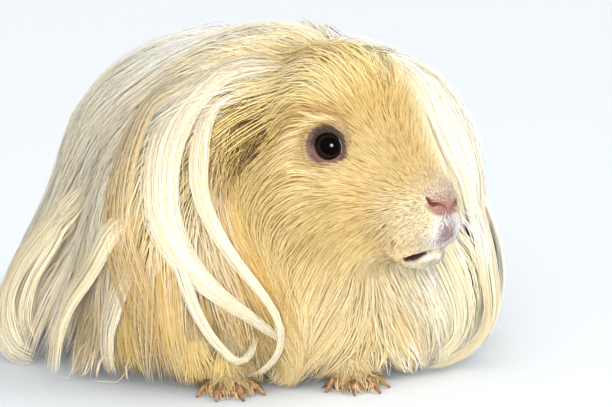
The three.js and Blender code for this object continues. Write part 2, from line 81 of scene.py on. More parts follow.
FORELEG = dict(joints=[(-2, 23, 33, 9), (-9, 24, 19, 8), (13, 20, 7.4, 5.6), (21, 19.5, 4.1, 5.4)],
               angles=(-40, -7, 20, 48), reach=(8, 10.6, 10.4, 7.2), toe=2.4)
HINDLEG = dict(joints=[(-92, 29, 31, 14), (-74, 36, 20, 10.5), (-108, 37, 5.2, 6.4), (-82, 41, 4.2, 5.4)],
               angles=(-16, 4, 24), reach=(9.5, 11.5, 9.5), toe=2.7)
SOLE_DEPTH = 0.5
LEG_FUR = 1  # depth of the coat at the upper and the lower end of each bone
FOOT_FUR = 0.8


def ellipsoid(x, y, z, centre, half):
    """Distance to an ellipsoid, exact on its surface and near enough elsewhere."""
    dx, dy, dz = x - centre[0], y - centre[1], z - centre[2]
    reach = np.sqrt((dx / half[0]) ** 2 + (dy / half[1]) ** 2 + (dz / half[2]) ** 2)
    slope = np.sqrt((dx / half[0] ** 2) ** 2 + (dy / half[1] ** 2) ** 2 + (dz / half[2] ** 2) ** 2)
    return reach * (reach - 1) / np.maximum(slope, 1e-6)


def limb(x, y, z, a, b, radius_a, radius_b):
    """Distance to a round bar from a to b that tapers from one radius to the other."""
    ab = [b[i] - a[i] for i in range(3)]
    along = ((x - a[0]) * ab[0] + (y - a[1]) * ab[1] + (z - a[2]) * ab[2]) / sum(v * v for v in ab)
    t = np.clip(along, 0, 1)
    off = np.sqrt((x - a[0] - ab[0] * t) ** 2 + (y - a[1] - ab[1] * t) ** 2 + (z - a[2] - ab[2] * t) ** 2)
    return off - radius_a - (radius_b - radius_a) * t


def blend(a, b, width):
    """Joins two shapes, rounded where both are within a width of each other."""
    overlap = np.maximum(width - np.abs(a - b), 0) / width
    return np.minimum(a, b) - overlap * overlap * width * 0.25


def carve(a, tool, width):
    """Cuts a tool's shape out of another, with a rounded rim."""
    return -blend(-a, tool, width)


def to_head(x, y):
    """The head frame's x and y of a place in the body frame."""
    dx, dy = x - HEAD_ORIGIN[0], y - HEAD_ORIGIN[1]
    return dx * HEAD_COS + dy * HEAD_SIN, dy * HEAD_COS - dx * HEAD_SIN


def from_head(x, y):
    """The body frame's x and y of a place in the head frame."""
    return (HEAD_ORIGIN[0] + x * HEAD_COS - y * HEAD_SIN,
            HEAD_ORIGIN[1] + x * HEAD_SIN + y * HEAD_COS)


def trunk_coat(x, y, z):
    """The coat of the trunk, which flares out towards the floor and ends in locks."""
    t = TRUNK
    fall = np.clip(1 - z / t["flare_top"], 0, 1) ** t["flare_power"]
    dx = x - t["centre_x"]
    half_length = np.where(dx > 0, t["front"] - t["tuck"] * fall, t["rear"] + t["rear_flare"] * fall)
    half_width = t["half_width"] + t["side_flare"] * fall
    level = np.maximum(0, (z - t["base"]) / t["height"]) ** (t["fullness"] / 2)
    reach = np.sqrt((dx / half_length) ** 2 + (y / half_width) ** 2 + level ** 2)
    slope = np.sqrt((dx / half_length ** 2) ** 2 + (y / half_width ** 2) ** 2 + (level / t["height"]) ** 2)
    around = np.arctan2(y / half_width, dx / half_length)
    locks = t["lock_depth"] * fall * np.cos(t["locks"] * around + 1.1 * np.sin(3 * around))
    return reach * (reach - 1) / np.maximum(slope, 1e-6) - locks


HEAD_COAT = dict(face=((31, 0, 79), (55, 0, 61), 24.5, 12.5), jaw=((20, 0, 61), (52, 0, 55), 21, 10.5),
                 cheek=((22, 15, 62), (16.5, 16.5, 16.5)), crest=((24, 0, 87), (22, 21, 20.5)),
                 hollow_radius=9.8)


def head_shape(x, y, z, face, jaw, cheek, crest, hollow_radius):
    """A head in its own frame, from the radii and places of its parts."""
    side = np.abs(y)
    d = blend(limb(x, side, z, *face), limb(x, side, z, *jaw), HEAD_BLEND)
    d = blend(d, ellipsoid(x, side, z, *cheek), HEAD_BLEND)
    d = blend(d, ellipsoid(x, side, z, *crest), HEAD_BLEND)
    hollow = ellipsoid(x, side, z, EYE_HOLLOW, (hollow_radius,) * 3)
    return carve(d, hollow, 3)


def coat(x, y, z):
    """Distance to the tips of the coat, negative inside. Long hair bridges the creases behind the ears."""
    d = trunk_coat(x, y, z)
    for centre, half in FALLS:
        d = blend(d, ellipsoid(x, y, z, centre, half), BODY_BLEND)
    hx, hy = to_head(x, y)
    return blend(d, head_shape(hx, hy, z, **HEAD_COAT), HEAD_BLEND)


# ------------------------------------------------------------------ outline of the flesh
BODY_FLESH = [((-20, 0, 55), (48, 42, 42)), ((-75, 0, 52), (72, 50, 47)), ((-114, 0, 50), (44, 46, 45)),
              ((-2, 3, 66), (30, 30, 31))]
NECK_BLEND = 6
LEG_BLEND = 5
BONE_BLEND = 4
TOE_BLEND = 1.2
SOLE_HEIGHT = 0.05
HEAD_FLESH = dict(face=((30, 0, 76.4), (54.6, 0, 61), 20.4, 11.3), jaw=((20, 0, 60), (52, 0, 54.6), 17, 9.2),
                  cheek=((22, 14, 61.5), (13.5, 13.5, 13.5)), crest=((20, 0, 82), (19, 17, 15.5)),
                  hollow_radius=11)
NOSE_PAD = ((62.2, 0, 62.2), (4.9, 6.9, 3.9))
UPPER_LIP = ((59.3, 4.6, 54.6), (7.3, 5.6, 6.8))
CHIN = ((54.5, 0, 46.6), (9.5, 6.2, 5.4))
LIP_CLEFT = ((67.6, 0, 58.6), (67.2, 0, 49), 0.9, 0.9)
NOSTRIL = [(67.6, 0.8, 59.8, 0.5), (67.2, 2.8, 61.3, 0.3), (66.5, 4.3, 61.9, 0.34), (65.4, 5.5, 61.7, 0.42),
           (64.6, 6.2, 62.6, 0.4), (64, 6.7, 63.8, 0.3)]
MOUTH = [(64, 0, 47.7, 0.25), (63, 2.9, 47.3, 0.3), (61.3, 4.6, 46.7, 0.25), (58.2, 5.5, 45.2, 0.7),
         (55.2, 5.7, 44.2, 0.4)]
GAPE = MOUTH[2:]  # where the lips stand apart


def muzzle_details(d, x, y, z):
    """Nose pad, lips, chin, nostrils and mouth, in the head frame, on one side."""
    d = blend(d, ellipsoid(x, y, z, *NOSE_PAD), 2)
    d = blend(d, ellipsoid(x, y, z, *UPPER_LIP), 2)
    d = blend(d, ellipsoid(x, y, z, *CHIN), 2.5)
    d = carve(d, limb(x, y, z, *LIP_CLEFT), 0.8)
    d = carve(d, groove(x, y, z, NOSTRIL), 0.6)
    return carve(d, groove(x, y, z, MOUTH), 0.6)


def groove(x, y, z, line):
    """Distance to a bent line of given places and radii."""
    pieces = [limb(x, y, z, a[:3], b[:3], a[3], b[3]) for a, b in zip(line[:-1], line[1:])]
    return np.minimum.reduce(pieces)


def leg_flesh(x, y, z, leg):
    """A left leg with its toes."""
    bones = list(zip(leg["joints"][:-1], leg["joints"][1:]))
    d = None
    for a, b in bones:
        piece = limb(x, y, z, a[:3], b[:3], a[3] - LEG_FUR, b[3] - FOOT_FUR)
        d = piece if d is None else blend(d, piece, BONE_BLEND)
    px, py, pz, _ = leg["joints"][-1]
    for angle, reach in zip(leg["angles"], leg["reach"]):
        a = math.radians(angle)
        tip = (px + reach * math.cos(a), py + reach * math.sin(a), leg["toe"] - SOLE_DEPTH)
        toe = limb(x, y, z, (px, py, pz - 1), tip, leg["toe"] + 0.5, leg["toe"] - 0.1)
        d = blend(d, toe, TOE_BLEND)
    return d


def legs_flesh(x, y, z):
    return np.minimum(leg_flesh(x, np.abs(y), z, FORELEG), leg_flesh(x, np.abs(y), z, HINDLEG))


def flesh(x, y, z):
    """Distance to the skin, negative inside."""
    d = ellipsoid(x, y, z, *BODY_FLESH[0])
    for centre, half in BODY_FLESH[1:]:
        d = blend(d, ellipsoid(x, y, z, centre, half), BODY_BLEND)
    hx, hy = to_head(x, y)
    head = muzzle_details(head_shape(hx, hy, z, **HEAD_FLESH), hx, np.abs(hy), z)
    d = blend(d, head, NECK_BLEND)
    side = np.abs(y)
    for leg in (FORELEG, HINDLEG):
        d = blend(d, leg_flesh(x, side, z, leg), LEG_BLEND)
    return np.maximum(d, SOLE_HEIGHT - z)


def slope(distance, p, h=0.25):
    """Unit gradient of a distance at points p."""
    g = np.empty_like(p)
    for axis in range(3):
        step = np.zeros(3)
        step[axis] = h
        a, b = p + step, p - step
        g[:, axis] = distance(a[:, 0], a[:, 1], a[:, 2]) - distance(b[:, 0], b[:, 1], b[:, 2])
    return unit(g)


def unit(v):
    return v / np.maximum(np.linalg.norm(v, axis=-1, keepdims=True), 1e-9)


# ------------------------------------------------------------------ small helpers
def smooth(value, low, high):
    """0 below low, 1 above high, with a soft turn between."""
    t = np.clip((value - low) / (high - low), 0, 1)
    return t * t * (3 - 2 * t)


def mix(a, b, t):
    """Between a and b, by one share or by a share for each point."""
    t = np.asarray(t)[..., None] if np.ndim(a) and np.ndim(t) and np.shape(a)[-1:] == (3,) else t
    return a + (b - a) * t


def towards(colours, target, share):
    """Colours moved by a share of the way to one target colour."""
    return colours + (target - colours) * np.asarray(share, float)[..., None]


def layered(base, shape, layers):
    """One colour with others laid over it in turn, each by its share."""
    colours = np.broadcast_to(base, shape)
    for target, share in layers:
        colours = towards(colours, target, share)
    return colours


def hump(value, middle, width):
    """1 at the middle, falling off on both sides."""
    return np.exp(-((value - middle) / width) ** 2)


def linear(red, green, blue):
    """A colour given as 0 to 255 on a screen, as linear light."""
    c = np.array([red, green, blue]) / 255
    return np.where(c <= 0.04045, c / 12.92, ((c + 0.055) / 1.055) ** 2.4)


def xyz(p):
    return p[..., 0], p[..., 1], p[..., 2]


def head_place(p):
    """Coordinates of p in the head frame."""
    return *to_head(p[..., 0], p[..., 1]), p[..., 2]


def to_body(hx, hy, z):
    """Points in the body frame, from coordinates in the head frame."""
    return np.stack([*from_head(hx, hy), z], axis=-1)


def at(distance, p):
    """A distance at points kept in one array."""
    return distance(*xyz(p))


def along_surface(v, normal):
    """The direction v, turned to run along the surface."""
    return unit(v - np.sum(v * normal, axis=-1, keepdims=True) * normal)


eye_low, eye_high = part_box("eye_right")
eye_x, eye_y = from_head(EYE[0], -EYE[1])
ROW_SHIFT = np.array([(eye_low[0] + eye_high[0]) / 2 / MM - eye_x,
                      (eye_low[1] + eye_high[1]) / 2 / MM - eye_y, 0])


def to_row(p):
    """Body frame in millimetres to row frame in metres."""
    return (np.asarray(p) + ROW_SHIFT) * MM


# ------------------------------------------------------------------ meshes
NO_TRIS = np.empty((0, 3), int)


def new_mesh(name, points, quads, tris=NO_TRIS):
    """A mesh object from arrays of points in the body frame, quads and triangles."""
    mesh = bpy.data.meshes.new(name)
    mesh.vertices.add(len(points))
    mesh.vertices.foreach_set("co", to_row(points).astype(np.float32).ravel())
    loops = np.concatenate([quads.ravel(), tris.ravel()]).astype(np.int32)
    totals = np.concatenate([np.full(len(quads), 4), np.full(len(tris), 3)]).astype(np.int32)
    starts = np.concatenate([[0], np.cumsum(totals)[:-1]]).astype(np.int32)
    mesh.loops.add(len(loops))
    mesh.loops.foreach_set("vertex_index", loops)
    mesh.polygons.add(len(totals))
    mesh.polygons.foreach_set("loop_start", starts)
    mesh.update(calc_edges=True)
    mesh.validate()
    mesh.shade_smooth()
    obj = bpy.data.objects.new(name, mesh)
    bpy.context.scene.collection.objects.link(obj)
    return obj


TINT = "Tint"


def paint(obj, colours):
    """Stores one linear colour for each point."""
    rgba = np.ones((len(colours), 4), np.float32)
    rgba[:, :3] = colours
    layer = obj.data.attributes.new(TINT, "FLOAT_COLOR", "POINT")
    layer.data.foreach_set("color", rgba.ravel())


CELL_CORNERS = [(i, j, k) for i in (0, 1) for j in (0, 1) for k in (0, 1)]
CELL_EDGES = [(a, b) for a in CELL_CORNERS for b in CELL_CORNERS if a < b and sum(np.subtract(b, a)) == 1
              and min(np.subtract(b, a)) == 0]


def axis_steps(*stretches):
    """Grid lines from stretches of start, end and step."""
    marks = [np.array([stretches[0][0]], float)]
    for start, end, step in stretches:
        marks.append(np.linspace(start, end, round((end - start) / step) + 1)[1:])
    return np.concatenate(marks)


def surface_net(distance, axes):
    """Points and quads of the surface where distance is 0, one point for each grid cell on it."""
    d = distance(*np.meshgrid(*axes, indexing="ij", sparse=True))
    inside = d < 0
    shape = np.array(d.shape) - 1
    count = sum(inside[i:shape[0] + i, j:shape[1] + j, k:shape[2] + k].astype(np.int8)
                for i, j, k in CELL_CORNERS)
    cells = np.argwhere((count > 0) & (count < 8))
    number = np.full(tuple(shape), -1)
    number[tuple(cells.T)] = np.arange(len(cells))
    return cell_points(d, cells, axes), net_quads(inside, number)


def grid_places(axes, ijk):
    return np.stack([axes[n][ijk[:, n]] for n in range(3)], axis=1)


def cell_points(d, cells, axes):
    """For each cell, the middle of the places where its edges cross the surface."""
    total, hits = np.zeros((len(cells), 3)), np.zeros((len(cells), 1))
    for a, b in CELL_EDGES:
        ia, ib = cells + a, cells + b
        da, db = d[tuple(ia.T)], d[tuple(ib.T)]
        crossed = ((da < 0) != (db < 0))[:, None]
        t = np.where(crossed[:, 0], da / np.where(da == db, 1, da - db), 0)[:, None]
        place_a, place_b = grid_places(axes, ia), grid_places(axes, ib)
        total += np.where(crossed, place_a + (place_b - place_a) * t, 0)
        hits += crossed
    return total / hits


def net_quads(inside, number):
    """A quad round each grid edge that crosses the surface, facing outward."""
    quads = []
    for axis in range(3):
        lower = np.take(inside, range(inside.shape[axis] - 1), axis=axis)
        upper = np.take(inside, range(1, inside.shape[axis]), axis=axis)
        edges = np.argwhere(lower != upper)
        second, third = (axis + 1) % 3, (axis + 2) % 3
        ring = []
        for s, t in ((-1, -1), (0, -1), (0, 0), (-1, 0)):
            cell = edges.copy()
            cell[:, second] += s
            cell[:, third] += t
            ring.append(number[tuple(cell.T)])
        quad = np.stack(ring, axis=1)
        outward = lower[tuple(edges.T)]
        quads.append(np.where(outward[:, None], quad, quad[:, ::-1]))
    return np.concatenate(quads)


# ------------------------------------------------------------------ colours
BUFF = linear(213, 187, 126)
DEEP_GOLD = linear(200, 158, 78)
BROW_GOLD = linear(216, 186, 116)
CROWN_GOLD = linear(234, 214, 162)
CROWN_PALE = linear(232, 220, 186)
CHEEK_CREAM = linear(246, 232, 190)
CREAM = linear(250, 240, 208)
GREY_CREAM = linear(217, 207, 180)
THROAT_CREAM = linear(228, 205, 154)
LOW_GOLD = linear(174, 144, 90)
FAR_WHITE = linear(255, 250, 230)
BACK_WHITE = linear(255, 252, 239)
MUZZLE_WHITE = linear(246, 242, 236)
NOSE_PINK = linear(132, 98, 86)
NOSTRIL_RED = linear(84, 18, 16)
LIP_MAUVE = linear(128, 104, 106)
# painted shade: near black, for the shade inside the mouth's slit
MOUTH_DARK = linear(48, 24, 20)
LID_PINK = linear(100, 68, 62)
LID_DARK = linear(54, 38, 28)
LASH_BROWN = linear(96, 78, 60)
LASH_DARK = linear(76, 60, 48)
EAR_SKIN = linear(84, 56, 32)
EAR_SHADOW = linear(74, 44, 22)
TOE_PINK = linear(140, 96, 76)
ROOT_BROWN = linear(150, 108, 58)
NOSE_FUZZ = linear(208, 186, 158)
BRISTLE_GREY = linear(120, 110, 112)
WHISKER_BROWN = linear(88, 66, 40)


def blotch(p, size, seed):
    """Soft patches from -1 to 1, from a few waves of set directions."""
    waves = np.random.default_rng(seed)
    total = 0
    for _ in range(5):
        direction = waves.normal(size=3)
        total = total + np.sin(p @ direction / size + waves.uniform(0, 6.3))
    return total / 5


def ear_zone(p):
    """1 round the right ear, where the coat parts over brown skin and its fur is darkened as painted shade.
    The mane hides the left ear.
    """
    return smooth(-ellipsoid(*head_place(p), (5, -26, 80), (10, 13, 12)), -3, 2)


def markings(p):
    """The coat's colour by the place where it grows, with painted shade on the right flank and low in front.
    """
    x, y, z = xyz(p)
    # painted shade: the right flank, turned away from the key lamp, is painted greyer cream
    right_flank_shade = smooth(-y, -10, 30) * smooth(z, 25, 60)
    low = smooth(60 - z, 0, 25) * (0.15 + 0.85 * smooth(x, -30, 12)) * (0.25 + 0.75 * smooth(-y, -40, 0))
    behind_cheek = smooth(x, -8, 14) * smooth(-y, 12, 28) * smooth(86 - z, 0, 12)
    chest = smooth(x, -4, 18) * smooth(52 - z, 0, 14)
    body = layered(BACK_WHITE, p.shape, [
        (GREY_CREAM, right_flank_shade),
        (BROW_GOLD, 0.9 * low * (0.75 + 0.5 * blotch(p, 14, 3))),
        (CROWN_GOLD, 0.12 * smooth(z, 80, 98) * smooth(x, -15, 20)),
        (DEEP_GOLD, 0.35 * behind_cheek),
        (THROAT_CREAM, chest),
        (LOW_GOLD, 0.85 * chest * smooth(-y, -2, 14)),
    ])
    on_head = smooth(head_place(p)[0], -6, 10) * smooth(z, 34, 50)
    # painted shade: the coat is darkened low in front, on the chest and below the cheek, under the head
    low_front_shade = 0.25 * smooth(58 - z, 0, 18) * smooth(x, -5, 12) * smooth(-y, -8, 8)
    light = (1 - low_front_shade) * (1 + 0.06 * blotch(p, 5, 8))
    return mix(body, face_markings(p), on_head) * light[..., None]


def face_markings(p):
    """Colours of the head: buff, golden behind the eye and on the brow, pale at the crown, lips and chin,
    white on the back of the left cheek, partly as painted highlight, and painted shade round the right ear
    and the eyes.
    """
    hx, hy, z = head_place(p)
    lit_left_cheek = smooth(hy, 6, 20) * smooth(36 - hx, 0, 14) * (0.15 + 0.85 * smooth(96 - z, 0, 10))
    muzzle = smooth(hx, 46, 58) * smooth(68 - z, 0, 8) * smooth(z, 42, 48)
    lips = smooth(-np.sqrt((hx - 66) ** 2 + (hy * 0.9) ** 2 + (z - 53) ** 2), -8.5, -4)
    below_mouth = 44.2 + 0.4 * (hx - 55) - z
    nose = smooth(-ellipsoid(hx, hy, z, (65, 0, 64), (6, 8, 5)), -1, 2)
    return layered(BUFF, p.shape, [
        (BROW_GOLD, smooth(z, 76, 90)),
        (DEEP_GOLD, smooth(26 - hx, 0, 18) * smooth(76 - z, 0, 14) * 0.8),
        (THROAT_CREAM, smooth(54 - z, 0, 14) * 0.7 * smooth(hy, -30, -8)),
        (LOW_GOLD, smooth(56 - z, 0, 14) * 0.85 * smooth(-hy, 12, 24)),
        (CROWN_GOLD, smooth(z, 85, 95) * smooth(48 - hx, 0, 14) * 0.95),
        (CROWN_PALE, 0.85 * smooth(z, 82, 94) * smooth(20 - hx, 0, 16)),
        (CREAM, 0.65 * smooth(hy, -2, 10) * smooth(hx, 10, 30)),
        # the back of the left cheek is painted white: a pale coat there, and a painted highlight for the
        # strong light on that side
        (FAR_WHITE, lit_left_cheek),
        (CREAM, 0.35 * muzzle),
        (MUZZLE_WHITE, lips),
        (CREAM * 0.86, smooth(hx, 42, 52) * smooth(below_mouth, -0.5, 1.5)),
        (NOSE_FUZZ, nose),
        # painted shade: the fur round the right ear is darkened towards brown
        (ROOT_BROWN, 0.85 * ear_zone(p)),
        *eye_markings(hx, hy, z),
    ])


def eye_markings(hx, hy, z):
    """Pale hair below the eye, then dark lashes and painted shade in a brown ring close below it and a band
    over it, then a pale fold and a crease darkened as painted shade.
    """
    far = np.sqrt((hx - EYE[0]) ** 2 + (np.abs(hy) - EYE[1]) ** 2 + (z - EYE[2]) ** 2)
    above = smooth((z - EYE[2]) / np.maximum(far, 1), 0.05, 0.45)
    return [
        (CREAM, 0.25 * (1 - above) * hump(far, 10.2, 1.4)),
        (LASH_BROWN, 0.35 * (1 - above) * hump(far, 7.6, 1.1)),
        (LASH_BROWN, 0.75 * above * smooth(-far, -8, -6.8)),
        (CHEEK_CREAM, 0.6 * above * hump(far, 8.9, 0.7)),
        (ROOT_BROWN, 0.65 * above * hump(far, 10.6, 0.7)),
    ]


# ------------------------------------------------------------------ the skin
SKIN_GRID = [axis_steps((-172, 8, 4), (8, 46, 0.9), (46, 66, 0.45), (66, 76, 4)),
             axis_steps((-64, -36, 4), (-36, 28, 0.9), (28, 50, 0.45), (50, 54, 1), (54, 64, 4)),
             axis_steps((-4, 0, 4), (0, 14, 0.9), (14, 40, 2.6), (40, 52, 0.6), (52, 68, 0.45),
                        (68, 92, 0.9), (92, 108, 4))]


def skin_colours(p):
    """Bare skin at nose, lips, nostrils and toes, the mouth's slit painted near black as shade, brown bare
    skin and painted shadow round the ear, and under the fur the coat's markings, darkened and turned towards
    deep gold as painted shade.
    """
    hx, hy, z = head_place(p)
    here = (hx, np.abs(hy), z)
    shade_under_hair = smooth(-at(coat, p), 3, 7)
    # painted shade: under the fur the skin is darkened and turned towards deep gold, for the shade in the
    # gaps between strands
    colour = towards(markings(p) * 0.85, DEEP_GOLD, 0.5 * shade_under_hair * smooth(p[..., 0], -70, 0))
    for distance, target, reach in (
            (ellipsoid(*here, (66.6, 0, 61.6), (4.5, 7.6, 3.2)), NOSE_PINK, 1.2),
            (ellipsoid(*here, (67, 0, 52.5), (4, 3.6, 5.4)), LIP_MAUVE, 1.6),
            (groove(*here, NOSTRIL), NOSTRIL_RED, 0.45),
            (groove(*here, GAPE), LIP_MAUVE, 1.8),
            # painted shade: the mouth's slit is painted near black
            (groove(*here, MOUTH), MOUTH_DARK, 0.5),
            (groove(*here, GAPE), MOUTH_DARK, 0.45),
            (ellipsoid(*here, (6, 22, 77), (8, 12, 11)), EAR_SHADOW, 4)):
        colour = towards(colour, target, smooth(-distance, -reach, 0))
    return towards(colour, TOE_PINK, smooth(-at(legs_flesh, p), -1.0, -0.2) * smooth(12 - z, 0, 5))


def lid_colours(p, rim):
    """Dark above the eye, in part painted shade, pinkish below, and a painted glint of the wet rim in the
    front corner; away from the rim the coat's colour, darkened as painted shade.
    """
    hx, _, z = head_place(p)
    bare = towards(np.broadcast_to(LID_PINK, p.shape), LID_DARK, smooth(z - EYE[2], -2.5, 2))
    # painted glint: the inner rim at the front corner is painted near white for light caught on the wet rim
    bare = towards(bare, MUZZLE_WHITE, 0.8 * smooth(hx - EYE[0], 4.3, 4.9) * (rim < 2))
    # painted shade: the outer rings are the coat's colour darkened towards brown
    return mix(bare, towards(markings(p), LASH_BROWN, 0.5), 0.9 * smooth(rim, 5, 8) * (rim < 9))


# Radius and height of each ring of a lid
LID_PROFILE = [(4.12, 3.2), (4.22, 3.6), (4.5, 3.9), (4.95, 3.95), (5.4, 3.7), (5.9, 3.5), (6.5, 3.85),
               (7.2, 4.25), (8.2, 4.5), (7.2, 2.4), (5.6, 1.2), (4.3, 2.2)]
LID_SIDES = 48
RIM_RINGS = 4
FOLD_RINGS = (6, 7)
SHOWN_RINGS = 8  # the others lie hidden in the flesh
CORNER_REACH = 0.07  # how far the front corner is drawn out, as a share of the radius
CORNER_TURN = 0.35
UPPER_LID = 0.35  # how far the upper lid comes down over the eye
FOLD_RISE = 0.25


def eye_axes(side):
    """Outward, forward and up directions of an eye in the head frame."""
    hollow = np.array([EYE_HOLLOW[0], side * EYE_HOLLOW[1], EYE_HOLLOW[2]])
    centre = np.array([EYE[0], side * EYE[1], EYE[2]])
    out = unit(hollow - centre)
    forward = unit(np.cross(np.array([0, 0, 1.0]), out) * -side)
    up = np.cross(out, forward) * -side
    return centre, out, forward, up * np.sign(up[2])


def round_eye(side, radius, height, phi):
    """Points at a radius from an eye's axis and a height over its centre, in the body frame."""
    centre, out, forward, up = eye_axes(side)
    p = (centre + out * height[..., None] + forward * (radius * np.cos(phi))[..., None]
         + up * (radius * np.sin(phi))[..., None])
    return to_body(*xyz(p))


def eyelid(side):
    """A closed ring with a rolled rim and one fold, lying on the eyeball."""
    phi = np.linspace(0, 2 * math.pi, LID_SIDES, endpoint=False)
    points = []
    for n, (radius, height) in enumerate(LID_PROFILE):
        corner = 1 + CORNER_REACH * np.cos(phi + CORNER_TURN) ** 8 * (n < RIM_RINGS)
        upper = UPPER_LID * np.maximum(np.sin(phi), 0) * (1 - n / SHOWN_RINGS) * (n < SHOWN_RINGS)
        r = radius * corner - upper * 0.8
        h = height + upper * 0.9 + FOLD_RISE * np.sin(phi) * (n in FOLD_RINGS)
        points.append(round_eye(side, r, h, phi))
    quads = ring_quads(len(LID_PROFILE), LID_SIDES, closed_rings=True)
    if side > 0:
        quads = quads[:, ::-1]
    return np.concatenate(points), quads


def ring_quads(rings, sides, closed_rings=False):
    """Quads between rings of points, and from the last ring to the first where those are closed."""
    r = np.arange(rings if closed_rings else rings - 1)
    s = np.arange(sides)
    r, s = np.meshgrid(r, s, indexing="ij")
    a = r * sides + s
    b = r * sides + (s + 1) % sides
    c = (r + 1) % rings * sides + (s + 1) % sides
    d = (r + 1) % rings * sides + s
    return np.stack([a, b, c, d], axis=-1).reshape(-1, 4)


EAR_RINGS = 14
EAR_SIDES = 36


def ear(side):
    """A drooping leaf, hollowed like a shallow cup, in the crease behind the cheek."""
    polar = np.linspace(0.02, math.pi - 0.02, EAR_RINGS)
    phi = np.linspace(0, 2 * math.pi, EAR_SIDES, endpoint=False)
    polar, phi = np.meshgrid(polar, phi, indexing="ij")
    across = np.sin(polar) * np.cos(phi)
    through = np.cos(polar)
    along = np.sin(polar) * np.sin(phi)
    notch = 1 - 0.12 * np.maximum(0, along) ** 2 * np.cos(2.2 * phi - 1.0)
    half = EAR["half"]
    a = across * half[0] * notch + along * EAR["lean"]
    b = along * half[1] * notch
    cup = 0.9 * (across ** 2 + along ** 2) - 0.25 * np.sin(5 * across + 2 * along)
    out = EAR["centre"][1] + through * half[2] + EAR["flare"] * a + EAR["droop"] * b + cup - 2.5
    points = to_body(EAR["centre"][0] + a, side * out, EAR["centre"][2] + b).reshape(-1, 3)
    quads = ring_quads(EAR_RINGS, EAR_SIDES)
    first = np.arange(EAR_SIDES)[::-1]
    last = (EAR_RINGS - 1) * EAR_SIDES + np.arange(EAR_SIDES)
    caps = np.concatenate([np.stack([np.full(EAR_SIDES - 2, ring[0]), ring[1:-1], ring[2:]], axis=1)
                           for ring in (first, last)])
    if side < 0:
        quads, caps = quads[:, ::-1], caps[:, ::-1]
    return points, quads, caps


def build_skin():
    """One mesh of the flesh, the eyelids and the ears, with its colours."""
    points, quads = surface_net(flesh, SKIN_GRID)
    colours = skin_colours(points)
    tris = []
    for side in (-1, 1):
        lid_points, lid_quads = eyelid(side)
        rim = np.repeat(np.arange(len(LID_PROFILE)), LID_SIDES).astype(float)
        quads = np.concatenate([quads, lid_quads + len(points)])
        points = np.concatenate([points, lid_points])
        ear_points, ear_quads, ear_caps = ear(side)
        quads = np.concatenate([quads, ear_quads + len(points)])
        tris.append(ear_caps + len(points))
        points = np.concatenate([points, ear_points])
        ear_colours = np.broadcast_to(EAR_SKIN, ear_points.shape)
        colours = np.concatenate([colours, lid_colours(lid_points, rim), ear_colours])
    skin = new_mesh("skin", points, quads, np.concatenate(tris))
    paint(skin, colours)
    return skin


